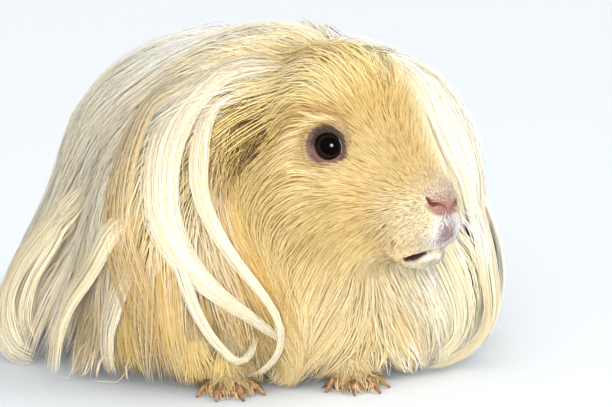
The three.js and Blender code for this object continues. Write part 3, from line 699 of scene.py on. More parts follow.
# ------------------------------------------------------------------ locks that stand out
# Each: places along its middle, its half widths evenly spaced from root to tip, strands and colour. Some
# have another colour at the tip, or a direction in which the lock faces out.
PALE = linear(226, 219, 196)
HONEY = linear(190, 156, 96)
SHOWN_LOCKS = [
    dict(line=[(26, 5, 102.5), (14.4, -2.6, 101), (7.6, -17, 97.5), (7.7, -28, 88), (12, -34.5, 80),
               (17.4, -38, 73), (22, -39.5, 66), (25, -40, 60), (27.3, -39.5, 54.5), (30, -37, 48),
               (31.3, -33.7, 42), (32.4, -29, 36.7), (33.5, -22.7, 31), (35, -14, 24.7), (37, -7, 19),
               (38, -3, 17)],
         half=(2.6, 4.6, 7.2, 5.8, 2.2, 0.5), count=330, colour=PALE),
    dict(line=[(22, -4, 97), (14.8, -13.7, 93), (14, -21.4, 88), (17.4, -25.7, 80.6), (23, -28, 72),
               (26.3, -28.7, 65.4), (29.4, -27.5, 58.5), (32.6, -23.8, 50.3), (34.6, -18.4, 42),
               (36.5, -12.5, 34.6), (38, -7.8, 27.5), (38, -5.5, 21), (36.5, -6, 14.3), (32.5, -9.5, 8),
               (28, -14, 4.5)],
         half=(1.2, 2.2, 3.3, 2.6, 1.4, 0.5, 0.25), count=130, colour=PALE),
    dict(line=[(28, -41, 50), (31.5, -36, 42), (33, -33.5, 35), (33.5, -31, 28), (33.5, -26.5, 20),
               (33, -21, 13.3), (33, -17, 11), (34, -14, 14), (35, -12.8, 19.8)],
         half=(1.0, 1.8, 1.1, 0.3), count=60, colour=PALE),
    dict(line=[(17, -47, 62), (19, -50, 55), (16.5, -54.5, 49), (10, -60, 37), (6, -64, 30),
               (4, -66.5, 25), (3, -69.5, 17), (3, -71.5, 9), (3.5, -72.5, 2.5)],
         half=(2.4, 4.2, 5.0, 4.4, 3.4), count=160, colour=CREAM),
    dict(line=[(-30, -56, 64), (-34, -66, 48), (-36, -78, 32), (-34, -84, 17), (-28, -82, 6),
               (-24, -75, 2)],
         half=(3.0, 9.0, 3.0), count=140, colour=CREAM),
    dict(line=[(-24, -60, 56), (-28, -68, 42), (-31, -76, 28), (-31, -80, 14), (-29, -78, 4)],
         half=(3.0, 6.5, 7.0, 5.0), count=130, colour=CREAM),
    dict(line=[(-8, 52, 80), (0, 60, 66), (10, 64, 50), (16, 66, 34), (17, 67, 20), (13, 63, 9),
               (14, 54, 4), (18, 45, 3)],
         half=(4.0, 7.5, 1.4), count=130, colour=FAR_WHITE, tip=CHEEK_CREAM),
    dict(line=[(20, 36, 62), (25, 44, 48), (27, 51, 35), (26, 55, 22), (22, 54, 12), (20, 47, 5)],
         half=(3.0, 5.5, 1.4), count=90, colour=CREAM),
    dict(line=[(20, 38, 101), (6, 48, 96), (-2, 56, 88), (-4, 63, 76), (-3, 67, 64), (4, 66, 52),
               (12, 66, 40), (14, 68, 28), (9, 70, 16), (4, 68, 6)],
         half=(4.0, 9.0, 2.6), count=120, colour=FAR_WHITE),
    dict(line=[(18, 38, 100), (8, 45, 96), (4, 50, 90), (4, 54, 83), (6, 56, 77), (8, 59, 70),
               (10, 61, 62), (13, 62, 52)],
         half=(4.0, 7.0, 4.0), count=110, colour=FAR_WHITE),
    dict(line=[(22, 28, 101), (19.5, 35.5, 95), (19, 40.5, 87), (20, 44.5, 79), (22, 48.5, 69),
               (23, 53, 58), (23, 56.5, 48)],
         half=(4.0, 8.0, 8.5, 7.5, 4.0), count=190, colour=FAR_WHITE, out=(0.95, -0.2, 0.2)),
    dict(line=[(-18, 54, 86), (-12, 66, 66), (-6, 73, 46), (-3, 76, 30), (-4, 75, 16), (-6, 73, 4)],
         half=(4.0, 8.0, 3.0), count=90, colour=FAR_WHITE),
    dict(line=[(4, -16, 100), (-4, -29.5, 94), (-7, -39, 86), (4, -47, 73), (14, -51.5, 59),
               (20.5, -52, 45), (25, -48, 30), (24.5, -43.5, 16), (21, -42.5, 5)],
         half=(3.0, 7.5, 5.0), count=130, colour=GREY_CREAM, tip=HONEY),
    dict(line=[(25, -47, 46), (20.5, -52.5, 32), (14, -55.5, 19), (9.5, -55, 7.5), (8, -53.5, 2)],
         half=(2.0, 4.4, 1.2), count=84, colour=PALE),
    dict(line=[(28.5, -41, 47), (30, -38, 42), (30, -38.7, 33.6), (29.4, -38, 24), (27.6, -36.4, 14.5),
               (25, -34, 4.5)],
         half=(2.0, 4.2, 3.6, 1.6), count=90, colour=HONEY, tip=BUFF),
    dict(line=[(23, -48, 40), (20, -50.5, 30), (17, -51, 20), (15, -50, 11), (14.5, -48.5, 3)],
         half=(2.0, 4.5, 5.5, 5.0), count=100, colour=HONEY, tip=BUFF),
    dict(line=[(27, -31, 20), (28.5, -30, 13), (28.5, -28.5, 8), (28, -27.5, 4)],
         half=(1.5, 4.0, 5.0, 5.0), count=80, colour=BUFF),
    dict(line=[(27, -21, 15), (29, -21.5, 10), (29.5, -20.5, 5)],
         half=(1.5, 4.0, 5.0), count=60, colour=BUFF),
]
LOCK_SAMPLES = 24  # places along each lock that turn the hair round it
LOCK_PULL = 7  # how far from a lock the hair follows it


def through_points(line, steps):
    """A smooth path through a few places (a Catmull-Rom curve), evenly spaced."""
    p = np.array(line, float)
    p = np.concatenate([2 * p[:1] - p[1:2], p, 2 * p[-1:] - p[-2:-1]])
    fine = []
    for i in range(1, len(p) - 2):
        t = np.linspace(0, 1, 16, endpoint=False)[:, None]
        a, b, c, d = p[i - 1:i + 3]
        fine.append(0.5 * (2 * b + (c - a) * t + (2 * a - 5 * b + 4 * c - d) * t ** 2
                           + (3 * b - a - 3 * c + d) * t ** 3))
    fine = np.concatenate(fine + [p[-2:-1]])
    arc = np.append(0, np.cumsum(np.linalg.norm(np.diff(fine, axis=0), axis=1)))
    even = np.linspace(0, arc[-1], steps)
    return np.stack([np.interp(even, arc, fine[:, k]) for k in range(3)], axis=1)


def lock_currents():
    """Places along the locks and the directions in which they run."""
    places, runs = [], []
    for lock in SHOWN_LOCKS:
        middle = through_points(lock["line"], LOCK_SAMPLES)
        places.append(middle[:-4])
        runs.append(unit(np.gradient(middle, axis=0))[:-4])
    return np.concatenate(places), np.concatenate(runs)


LOCK_PLACES, LOCK_RUNS = lock_currents()


# ------------------------------------------------------------------ the lie of the coat
NOSE = (66, 0, 62)
WHORL = (44, 1, 99)
PARTING_SOFTNESS = 9
PARTING_SHIFT = 24  # the parting runs from the whorl on the head to the middle of the back


def head_lie(hx, hy, z):
    """Away from the nose, drooping behind the eye and below it, and round the whorl on the crown."""
    from_nose = unit(np.stack([hx - NOSE[0], hy - NOSE[1], z - NOSE[2]], axis=-1))
    behind_eye = smooth(40 - hx, 0, 26) * smooth(np.abs(hy), 4, 16)
    below = smooth(66 - z, 0, 26) * smooth(np.abs(hy), 2, 10)
    droop = 1.5 * behind_eye + 0.9 * below
    head = from_nose - np.stack([0 * z, 0 * z, droop], axis=-1)
    whorl = np.stack([hx - WHORL[0], hy - WHORL[1], 0 * z], axis=-1)
    turned = unit(whorl + 0.5 * np.stack([-whorl[..., 1], whorl[..., 0], 0 * z], axis=-1))
    near_whorl = 0.8 * np.exp(-np.sum(whorl ** 2, axis=-1) / 30) * smooth(z, 90, 97)
    ahead, aside, up = xyz(mix(unit(head), turned, near_whorl))
    return np.stack([ahead * HEAD_COS - aside * HEAD_SIN, ahead * HEAD_SIN + aside * HEAD_COS, up], axis=-1)


def body_lie(x, y, z):
    """Away from the parting along the back, and down."""
    aside = np.tanh((y - PARTING_SHIFT * smooth(x, -60, 15)) / PARTING_SOFTNESS)
    return unit(np.stack([-0.3 + 0 * x, 0.9 * aside, -1.1 * smooth(106 - z, 0, 24)], axis=-1))


def lock_lie(p):
    """The way the single locks near p run, and how near they are."""
    far = np.sum(p ** 2, axis=-1)[:, None] + np.sum(LOCK_PLACES ** 2, axis=-1) - 2 * p @ LOCK_PLACES.T
    pull = np.exp(-np.maximum(far, 0) / (2 * LOCK_PULL ** 2))
    return unit(pull @ LOCK_RUNS), pull.sum(axis=1)


def lie_of_coat(p):
    """The way the hair lies at p, before it is bent along the surface."""
    x, y, z = xyz(p)
    hx, hy = to_head(x, y)
    on_head = smooth(hx, 0, 16) * smooth(z, 36, 50)
    free = mix(body_lie(x, y, z), head_lie(hx, hy, z), on_head)
    run, near = lock_lie(p)
    strength = 0.9 * np.clip(near / 1.2, 0, 1) * (1 - smooth(hx, 20, 32) * smooth(z, 50, 60))
    return mix(free, run, strength)


BEND_LENGTH = 11  # of the waves in a strand
DEPTH_HOLD = 0.8  # how firmly each step brings a strand to its depth
SKIN_GAP = 0.3
FLOOR_GAP = 0.7


def trace(roots, lengths, steps, finish_depth, rise, stiffness=0.55, wave=0.0):
    """Paths that leave the skin at roots, rise to finish_depth under the coat's surface and follow its lie.

    Gives the paths and the coat's outward direction along them."""
    n = len(roots)
    p = roots.copy()
    start = at(coat, p)
    heading = slope(flesh, p)
    path, normals = [p.copy()], []
    phase = rng.uniform(0, 2 * math.pi, n)
    swing = wave * rng.uniform(0.4, 1.6, n)
    reach = lengths / (steps - 1)
    arc = np.zeros(n)
    for step in range(1, steps):
        s = step / (steps - 1)
        normal = slope(coat, p)
        normals.append(normal)
        lie = along_surface(lie_of_coat(p), normal)
        across = np.cross(lie, normal)
        bend = swing * np.sin(arc / BEND_LENGTH + phase)
        lie = unit(lie + across * bend[:, None])
        heading = unit(stiffness * heading + (1 - stiffness) * lie)
        p = p + heading * reach[:, None]
        target = start + (-finish_depth - start) * smooth(s, 0, rise)
        p = p - normal * (DEPTH_HOLD * (at(coat, p) - target))[:, None]
        inner = at(flesh, p)
        p = p + slope(flesh, p) * np.maximum(SKIN_GAP - inner, 0)[:, None]
        p[:, 2] = np.maximum(p[:, 2], FLOOR_GAP)
        heading = unit(p - path[-1])
        arc = arc + reach
        path.append(p.copy())
    normals.append(slope(coat, p))
    return np.stack(path, axis=1), np.stack(normals, axis=1)


def floor_reach(roots, lengths, depth, rise, steps, level):
    """Lengths cut so that a strand ends soon after it comes down to level."""
    path, _ = trace(roots, lengths, steps, depth, rise)
    low = path[:, :, 2] < level
    first = np.where(low.any(axis=1), low.argmax(axis=1), steps)
    return np.minimum(lengths, lengths * first / (steps - 1))


# ------------------------------------------------------------------ strands
MOST_TRIANGLES = 190000  # in one piece
TUFT_PATCH = 0.003  # size of a strand's patch on the coat's unwrap
ROOT_WIDTH = 0.55  # as a share of a strand's full width
SWELL = 0.45
TAPER = 0.75
EDGE_TURN = 0.75  # how far the shading turns away at a strand's edges
LOWEST_NORMAL = -0.15  # light soaks into hair that hangs, so its shading doesn't face straight down


def strand_points(paths, across, up, widths, flat):
    """A ring of three corners at each step of each path, and a point at its end."""
    n, rings, _ = paths.shape
    s = np.linspace(0, 1, rings)[None, :, None]
    swell = ROOT_WIDTH + SWELL * np.sin(np.minimum(s * 3, 1) * math.pi / 2)
    profile = swell * (1 - s ** 3) ** TAPER
    half = widths[:, None, None] / 2 * profile
    corners = [paths - across * half, paths + across * half, paths + up * half * 2 * flat]
    body = np.stack(corners, axis=2)[:, :-1].reshape(n, -1, 3)
    return np.concatenate([body, paths[:, -1:]], axis=1).reshape(-1, 3)


def strand_faces(count, rings):
    """Quads along each strand's three sides, and triangles that close its root and tip."""
    ring = np.arange(rings - 2)[:, None] * 3
    corner = np.arange(3)[None, :]
    follow = (corner + 1) % 3
    quads = np.stack([ring + corner, ring + 3 + corner, ring + 3 + follow, ring + follow], axis=-1)
    last = (rings - 2) * 3
    end = last + 3
    tris = np.array([[0, 1, 2]] + [[last + (c + 1) % 3, last + c, end] for c in range(3)])
    offset = (np.arange(count) * (end + 1))[:, None, None]
    return (quads.reshape(-1, 4) + offset).reshape(-1, 4), (tris + offset).reshape(-1, 3)


def strand_shading(normals, across, up, calm):
    """Directions for shading: a strand's own, which turn away at its edges, brought nearer the coat's."""
    side = across * EDGE_TURN
    own = np.stack([up - side, up + side, up], axis=2)[:, :-1].reshape(len(up), -1, 3)
    soft = mix(unit(own), unit(np.repeat(normals[:, :-1], 3, axis=1)), calm)
    soft = np.concatenate([soft, up[:, -1:]], axis=1)
    soft[..., 2] = np.maximum(soft[..., 2], LOWEST_NORMAL)
    return unit(soft).reshape(-1, 3)


class Strands:
    """Gathers strands of one kind, and turns them into joined meshes."""

    def __init__(self, name, unwrap):
        self.name, self.unwrap = name, unwrap
        self.batches = []

    def add(self, *arrays, flat=0.45, calm=0.5, keep=slice(None)):
        """Adds strands from paths, normals along them, widths, and colours of the roots and the tips.

        flat is a strand's height for its width, and calm how far its shading is that of the coat."""
        self.batches.append((*(a[keep] for a in arrays), flat, calm))

    def build(self, material):
        number = 0
        for *arrays, flat, calm in self.batches:
            strands, rings, _ = arrays[0].shape
            per_strand = (rings - 2) * 6 + 4
            parts = max(1, math.ceil(strands / (MOST_TRIANGLES // per_strand)))
            for part in range(parts):
                number += 1
                obj = self._mesh(number, *(a[part::parts] for a in arrays), flat, calm)
                obj.data.materials.append(material)
                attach(obj, "root")

    def _mesh(self, number, paths, normals, widths, roots, tips, flat, calm):
        count, rings, _ = paths.shape
        tangent = unit(np.gradient(paths, axis=1))
        across = unit(np.cross(tangent, normals))
        up = np.cross(across, tangent)
        points = strand_points(paths, across, up, widths, flat)
        obj = new_mesh(f"{self.name}_{number}", points, *strand_faces(count, rings))
        along = np.append(np.repeat(np.linspace(0, 1, rings)[:-1], 3), 1.0)
        colours = roots[:, None, :] + (tips - roots)[:, None, :] * along[None, :, None]
        paint(obj, colours.reshape(-1, 3))
        shading = strand_shading(normals, across, up, calm)
        obj.data.normals_split_custom_set_from_vertices(shading.tolist())
        sideways = np.append(np.tile([0.0, 1.0, 0.5], rings - 1), 0.5)
        patch = np.stack([sideways - 0.5, along - 0.5], axis=1) * TUFT_PATCH
        uv = (self.unwrap(paths[:, 0])[:, None, :] + patch[None]).reshape(-1, 2)
        corners = np.empty(len(obj.data.loops), np.int32)
        obj.data.loops.foreach_get("vertex_index", corners)
        layer = obj.data.uv_layers.new(name="OFBake")
        layer.data.foreach_set("uv", uv[corners].astype(np.float32).ravel())
        return obj


def unroll(across, up, along, length):
    """Places on a map from 0 to 1, round an axis and along it."""
    u = 0.5 + 0.48 * np.arctan2(across, up) / math.pi
    return np.stack([u, np.clip(along / length, 0.005, 0.995)], axis=-1)


BODY_AXIS, BODY_BACK, BODY_LENGTH = 45, 180, 250
HEAD_AXIS, HEAD_BACK, HEAD_LENGTH = 64, 25, 98


def unwrap_body(p):
    x, y, z = xyz(p)
    return unroll(y, z - BODY_AXIS, x + BODY_BACK, BODY_LENGTH)


def unwrap_head(p):
    hx, hy, z = head_place(p)
    return unroll(hy, z - HEAD_AXIS, hx + HEAD_BACK, HEAD_LENGTH)


def scatter(skin, weight, count):
    """Random places on the skin, as many for each area as weight says."""
    mesh = skin.data
    mesh.calc_loop_triangles()
    tris = np.empty(len(mesh.loop_triangles) * 3, np.int32)
    mesh.loop_triangles.foreach_get("vertices", tris)
    co = np.empty(len(mesh.vertices) * 3, np.float32)
    mesh.vertices.foreach_get("co", co)
    co = co.reshape(-1, 3).astype(float) / MM - ROW_SHIFT
    a, b, c = (co[tris.reshape(-1, 3)[:, k]] for k in range(3))
    area = np.linalg.norm(np.cross(b - a, c - a), axis=1) / 2
    share = area * weight((a + b + c) / 3, unit(np.cross(b - a, c - a)))
    pick = np.searchsorted(np.cumsum(share), rng.uniform(0, share.sum(), count))
    u, v = rng.uniform(size=(2, count, 1))
    flip = u + v > 1
    u, v = np.where(flip, 1 - u, u), np.where(flip, 1 - v, v)
    return a[pick] + (b[pick] - a[pick]) * u + (c[pick] - a[pick]) * v


def tinted(colours, spread, warmth=0.0):
    """Each strand's colour, a little lighter or darker than its place."""
    n = len(colours)
    light = 1 + spread * rng.normal(size=(n, 1))
    warm = 1 + warmth * rng.normal(size=(n, 1)) * np.array([0.2, -0.15, -1.0])
    return np.clip(colours * light * warm, 0.005, 0.98)


# ------------------------------------------------------------------ the face's short fur
FUR_CALM = 0.6


def bare_skin(p):
    """1 where no fur grows: nose, lips, eyes and the inside of the mouth."""
    hx, hy, z = head_place(p)
    side = np.abs(hy)
    nose = smooth(-ellipsoid(hx, side, z, (66.8, 0, 60.7), (4, 6.8, 1.9)), -0.6, 0.1)
    lip = smooth(-ellipsoid(hx, side, z, (67.2, 0, 51.6), (3.6, 3.8, 4.4)), -0.5, 0.1)
    eye = smooth(-ellipsoid(hx, side, z, EYE, (EYE_RADIUS + 1.8,) * 3), -0.3, 0.1)
    mouth = smooth(-groove(hx, side, z, MOUTH), -0.5, -0.1)
    return np.maximum.reduce([0.9 * nose, 0.92 * lip, eye, mouth])


def face_weight(p, normal):
    hx, _, z = head_place(p)
    return smooth(hx, 26, 40) * smooth(z, 36, 42) * (1 - bare_skin(p)) * (0.7 + 0.8 * smooth(hx, 45, 60))


def clear_of_openings(paths):
    """Which strands leave the eyes, the mouth and the nostrils free."""
    hx, hy, z = head_place(paths)
    side = np.abs(hy)
    eye = ellipsoid(hx, side, z, EYE, (EYE_RADIUS + 1.1,) * 3).min(axis=1) > 0
    mouth = groove(hx, side, z, GAPE).min(axis=1) > 0.4
    nostril = groove(hx, side, z, NOSTRIL).min(axis=1) > 0.3
    return eye & mouth & nostril


def with_dark_hairs(colours, share, dark_colour=ROOT_BROWN):
    dark = (rng.uniform(size=len(colours)) < share) * rng.uniform(0.4, 1, len(colours))
    return towards(colours, dark_colour, dark)


def add_face_fur(strands, skin, count):
    """Short fur from the eyes to the lips, with dark hairs among it on the muzzle and as painted shade round
    the eyes, and roots darkened as painted shade.
    """
    roots = scatter(skin, face_weight, count)
    hx, hy, z = head_place(roots)
    eye_gap = ellipsoid(hx, np.abs(hy), z, EYE, (EYE_RADIUS,) * 3)
    chin = smooth(hx, 44, 50) * smooth(46.5 - z, 0, 4)
    length = (1.3 + 5.8 * smooth(65 - hx, 0, 22) + 4.0 * smooth(56 - z, 0, 12) * smooth(54 - hx, 0, 12)
              + 4.5 * chin)
    length = length * (0.4 + 0.6 * smooth(eye_gap, 1.0, 8)) * rng.uniform(0.7, 1.3, count)
    depth = rng.uniform(0.0, 1.4, count)
    paths, normals = trace(roots, length, 3, depth, 0.9, stiffness=0.3, wave=0.05)
    width = (0.16 + 0.08 * smooth(62 - hx, 0, 16)) * rng.uniform(0.6, 1.3, count)
    whiskers = smooth(hx, 44, 52) * smooth(z, 46, 52) * smooth(72 - z, 0, 8)
    dark = towards(np.broadcast_to(ROOT_BROWN, roots.shape), WHISKER_BROWN, whiskers)
    # more dark hairs on the whisker bed, and right round the eye as painted shade
    share = 0.1 + 0.16 * whiskers + 0.3 * smooth(5 - eye_gap, 0, 2.5)
    colour = with_dark_hairs(markings(roots), share, dark)
    lips = smooth(hx, 57, 62)
    # painted shade: the roots are darkened towards brown, except on the lips, which have grey bristles
    root = towards(towards(colour, ROOT_BROWN, 0.6 * (1 - lips)), BRISTLE_GREY, 0.8 * lips)
    strands.add(paths, normals, width, tinted(root, 0.14, 0.1), tinted(colour * 1.08, 0.12, 0.1),
                calm=FUR_CALM, keep=clear_of_openings(paths))


# ------------------------------------------------------------------ cheeks, crown and neck
ON_FLOOR = 2.2  # below this a strand lies on the floor
MOST_ON_FLOOR = 0.2
MOST_OVER_COAT = 1.8


def lies_well(paths):
    """Which paths neither run on along the floor nor stand up out of the coat."""
    on_floor = (paths[:, :, 2] < ON_FLOOR).mean(axis=1)
    over_coat = at(coat, paths).max(axis=1)
    return (on_floor < MOST_ON_FLOOR) & (over_coat < MOST_OVER_COAT)


def cheek_weight(p, normal):
    hx, _, z = head_place(p)
    back = smooth(hx, -10, 4) * smooth(46 - hx, 0, 14)
    return back * smooth(z, 34, 42) * (1 - 0.88 * ear_zone(p)) * (1 - bare_skin(p))


def add_cheek_fur(strands, skin, count):
    """Longer fur of cheeks and crown, which lies back from the face."""
    roots = scatter(skin, cheek_weight, count)
    hx, _, z = head_place(roots)
    crown = smooth(z, 84, 94)
    length = 8 + 14 * smooth(38 - hx, 0, 22) + 14 * smooth(62 - z, 0, 20) + 16 * crown
    length = length * rng.uniform(0.7, 1.25, count)
    depth = rng.uniform(0, 1, count) ** 1.5 * 3.0
    paths, normals = trace(roots, length, 6, depth, 0.45, stiffness=0.4, wave=0.08)
    width = 0.24 * rng.uniform(0.6, 1.35, count)
    colour = with_dark_hairs(markings(roots), 0.08)
    # painted shade: the roots are darkened towards brown, less on the crown
    root = towards(colour, ROOT_BROWN, 0.4 - 0.2 * crown)
    strands.add(paths, normals, width, tinted(root, 0.1, 0.12), tinted(colour * 1.08, 0.1, 0.1),
                calm=FUR_CALM, keep=clear_of_openings(paths) & lies_well(paths))


# ------------------------------------------------------------------ hair over the ear
def ear_weight(p, normal):
    hx, hy, z = head_place(p)
    over_ear = smooth(-ellipsoid(hx, hy, z, (7, -24, 84), (12, 14, 13)), -3, 2)
    return over_ear * smooth(-hy, 8, 14)


def add_ear_hair(strands, skin, count):
    """Sparse long hairs that cross each other over the shaded ear."""
    roots = scatter(skin, ear_weight, count)
    pale = smooth(rng.uniform(0, 1, count), 0.45, 0.9)
    length = rng.uniform(7, 13, count) * (1 + pale)
    depth = rng.uniform(-0.6, 2.2, count)
    paths, normals = trace(roots, length, 7, depth, 0.35, stiffness=0.5, wave=0.4)
    # painted shade: half the hairs are in the ear's shadow colour, and all roots are darkened
    colour = towards(np.broadcast_to(EAR_SHADOW, roots.shape), BROW_GOLD, pale)
    width = rng.uniform(0.14, 0.26, count)
    strands.add(paths, normals, width, tinted(colour * 0.6, 0.1, 0.1), tinted(colour, 0.1, 0.1),
                calm=FUR_CALM)


# ------------------------------------------------------------------ the long coat
LONG_STIFFNESS = 0.6


def front_place(p):
    """1 on the chest, throat and the front of the shoulders."""
    x, _, z = xyz(p)
    return smooth(x, -6, 8) * smooth(60 - z, 0, 10)


def long_weight(p, normal):
    hx, hy, z = head_place(p)
    crown = smooth(z, 86, 92) * smooth(30 - hx, 0, 10)
    left_neck = smooth(hy, 8, 16) * smooth(24 - hx, 0, 10) * smooth(z, 44, 56)
    behind_head = np.maximum.reduce([smooth(12 - hx, 0, 12), crown, 1.5 * left_neck])
    over = smooth(normal[:, 2], -0.55, -0.1) * smooth(z, 14, 30)
    top = 1 + 1.2 * smooth(z, 78, 94)
    far_shoulder = 1 + 1.2 * smooth(p[:, 1], 14, 34) * smooth(p[:, 0], -50, -20)
    rump = 1 - 0.3 * smooth(-p[:, 0], 60, 90)
    elsewhere = (1 - front_place(p)) * (1 - 0.95 * ear_zone(p))
    return behind_head * over * top * far_shoulder * rump * elsewhere


def under_weight(p, normal):
    over = smooth(normal[:, 2], -0.55, -0.1) * smooth(p[:, 2], 14, 26)
    return over * smooth(-at(coat, p), 4.5, 8) * (1 - ear_zone(p))


def front_weight(p, normal):
    hx, _, z = head_place(p)
    muzzle = smooth(hx, 32, 42) * smooth(z, 38, 43)
    facing = smooth(normal[:, 0] + np.abs(normal[:, 1]), 0.1, 0.5)
    return front_place(p) * smooth(z, 7, 16) * facing * (1 - muzzle)


def add_undercoat(strands, skin, count, steps):
    """Broad strands under the locks, which close the gaps between them, tinted deep gold and brown as
    painted shade.
    """
    roots = scatter(skin, under_weight, count)
    length = 80 * rng.uniform(0.7, 1.1, count)
    depth = rng.uniform(1.2, 4.4, count)
    reach = floor_reach(roots, length, depth, 0.3, steps, 10.0)
    length = np.maximum(np.minimum(length, reach - rng.uniform(0, 8, count)), 12)
    paths, normals = trace(roots, length, steps, depth, 0.3, stiffness=LONG_STIFFNESS, wave=0.05)
    # painted shade: the undercoat is darkened and turned towards deep gold, and its tips near the floor
    # towards brown
    golden = 0.1 + 0.25 * smooth(roots[:, 0], -40, 10)
    colour = tinted(towards(markings(roots), DEEP_GOLD, golden), 0.04, 0.06)
    tips = towards(colour, ROOT_BROWN, 0.3 * smooth(16 - paths[:, -1, 2], 0, 8))
    width = rng.uniform(0.6, 1.05, count)
    strands.add(paths, normals, width, colour * 0.95, tips, flat=0.15, calm=0.95, keep=lies_well(paths))


def hang(roots, lengths, depth, rise, steps, level, spare, least, wave):
    """Paths that end near a level over the floor, within a random spare, and are no shorter than least."""
    reach = floor_reach(roots, lengths, depth, rise, steps, level)
    lengths = np.maximum(np.minimum(lengths, reach + rng.uniform(*spare, len(roots))), least)
    return trace(roots, lengths, steps, depth, rise, stiffness=LONG_STIFFNESS, wave=wave)


def add_locks(strands, skin, guides, children, steps):
    """The long coat of neck, back and flanks, down to the floor."""
    roots = scatter(skin, long_weight, guides)
    x, _, z = xyz(roots)
    length = (95 + 30 * smooth(z, 70, 95)) * rng.uniform(0.75, 1.15, guides)
    depth = 3.5 * (1 - smooth(z, 50, 98)) * rng.uniform(0.1, 1, guides) + rng.uniform(0.1, 1.4, guides)
    paths, normals = hang(roots, length, depth, 0.3, steps, 5.0, (-8, 0), 14, 0.07)
    colour = tinted(markings(roots), 0.04, 0.1)
    low = 1 - smooth(z, 40, 75)
    gold = 0.04 + (0.05 + 0.2 * smooth(x, -40, 10)) * low
    up = lies_well(paths)
    fill_strands(strands, paths[up], normals[up], colour[up], gold[up], children, 5.4, (0.18, 0.4))


def add_front_locks(strands, skin, guides, children, steps):
    """Hair of throat, chest and shoulders, which ends just over the toes."""
    roots = scatter(skin, front_weight, guides)
    length = 62 * rng.uniform(0.8, 1.15, guides)
    depth = rng.uniform(0.2, 6, guides)
    paths, normals = hang(roots, length, depth, 0.35, steps, 4.0, (-3, 4), 7, 0.08)
    colour = tinted(markings(roots), 0.04, 0.1)
    gold = np.full(guides, 0.25)
    fill_strands(strands, paths, normals, colour, gold, children, 4.0, (0.18, 0.38))


def fill_strands(strands, paths, normals, colour, gold, children, radius, widths):
    """Fills locks with strands: gold is the share of deep gold at their roots."""
    kids, kid_normals = spread_locks(paths, normals, children, radius)
    up = lies_well(kids)
    kids, kid_normals = kids[up], kid_normals[up]
    colours = np.repeat(colour, children, axis=0)[up]
    gold = np.repeat(gold, children)[up]
    roots = towards(colours * 0.95, DEEP_GOLD * 0.85, gold)
    strands.add(kids, kid_normals, rng.uniform(*widths, len(kids)), tinted(roots, 0.05, 0.08),
                tinted(colours * 1.03, 0.05, 0.06), flat=0.3, calm=0.88)


LOCK_THICKNESS = 0.6
LOCK_TIP = 0.16  # a lock's width at its tip, as a share of its root's
MOST_CUT = 0.2  # the share of its length by which a strand may be shorter than its lock
LOCK_FLOOR_GAP = 0.5


def between_steps(arrays, row, where):
    """Values of each array's rows at places between their whole steps."""
    low = np.minimum(where.astype(int), arrays[0].shape[1] - 2)
    part = (where - low)[..., None]
    return [a[row, low] * (1 - part) + a[row, low + 1] * part for a in arrays]


def spread_locks(paths, normals, children, radius):
    """Strands round each guide path that draw together towards its tip."""
    guides, steps, _ = paths.shape
    s = np.linspace(0, 1, steps)
    tangent = unit(np.gradient(paths, axis=1))
    across = unit(np.cross(tangent, normals))
    angle = rng.uniform(0, 2 * math.pi, (guides, children))
    far = np.sqrt(rng.uniform(0, 1, (guides, children))) * radius
    high = rng.normal(size=(guides, children)) * LOCK_THICKNESS
    gather = rng.uniform(0.15, 0.75, (guides, 1, 1))
    close = LOCK_TIP + (1 - LOCK_TIP) * (1 - smooth(s, gather, 1.0)) ** 0.8
    fan = 1 + 0.25 * np.sin(s * math.pi)
    cut = 1 - MOST_CUT * rng.uniform(0, 1, (guides, children)) ** 2
    kink = rng.normal(size=(guides, children, 1)) * 0.5
    offset = far * np.cos(angle)
    sideways = offset[..., None] * close * fan + kink * np.sin(s * 5 + angle[..., None]) * s
    lift = high[..., None] * (0.3 + 0.7 * close) * smooth(s, 0, 0.15)
    # a shorter child stops earlier on the same path
    where = s[None, None, :] * cut[..., None] * (steps - 1)
    guide = np.arange(guides)[:, None, None]
    centre, side, up, ahead = between_steps([paths, across, normals, tangent], guide, where)
    root_shift = (far * np.sin(angle))[..., None] * (1 - smooth(s, 0, 0.5))
    kids = centre + side * sideways[..., None] + up * lift[..., None] + ahead * root_shift[..., None]
    kids[..., 2] = np.maximum(kids[..., 2], LOCK_FLOOR_GAP)
    return kids.reshape(-1, steps, 3), np.broadcast_to(up, kids.shape).reshape(-1, steps, 3)


SHOWN_STEPS = 20
ROOT_SINK = 2.6  # how deep a lock's roots and tips lie in the coat
TIP_SINK = 0.8


def lock_axes(lock):
    """A lock's middle line, and the ways in which it faces and is wide."""
    middle = through_points(lock["line"], SHOWN_STEPS * 3)
    facing = slope(coat, middle)
    if "out" in lock:
        facing = np.broadcast_to(unit(np.array(lock["out"])), middle.shape)
    across = unit(np.cross(unit(np.gradient(middle, axis=0)), facing))
    return middle[None], facing[None], across[None]


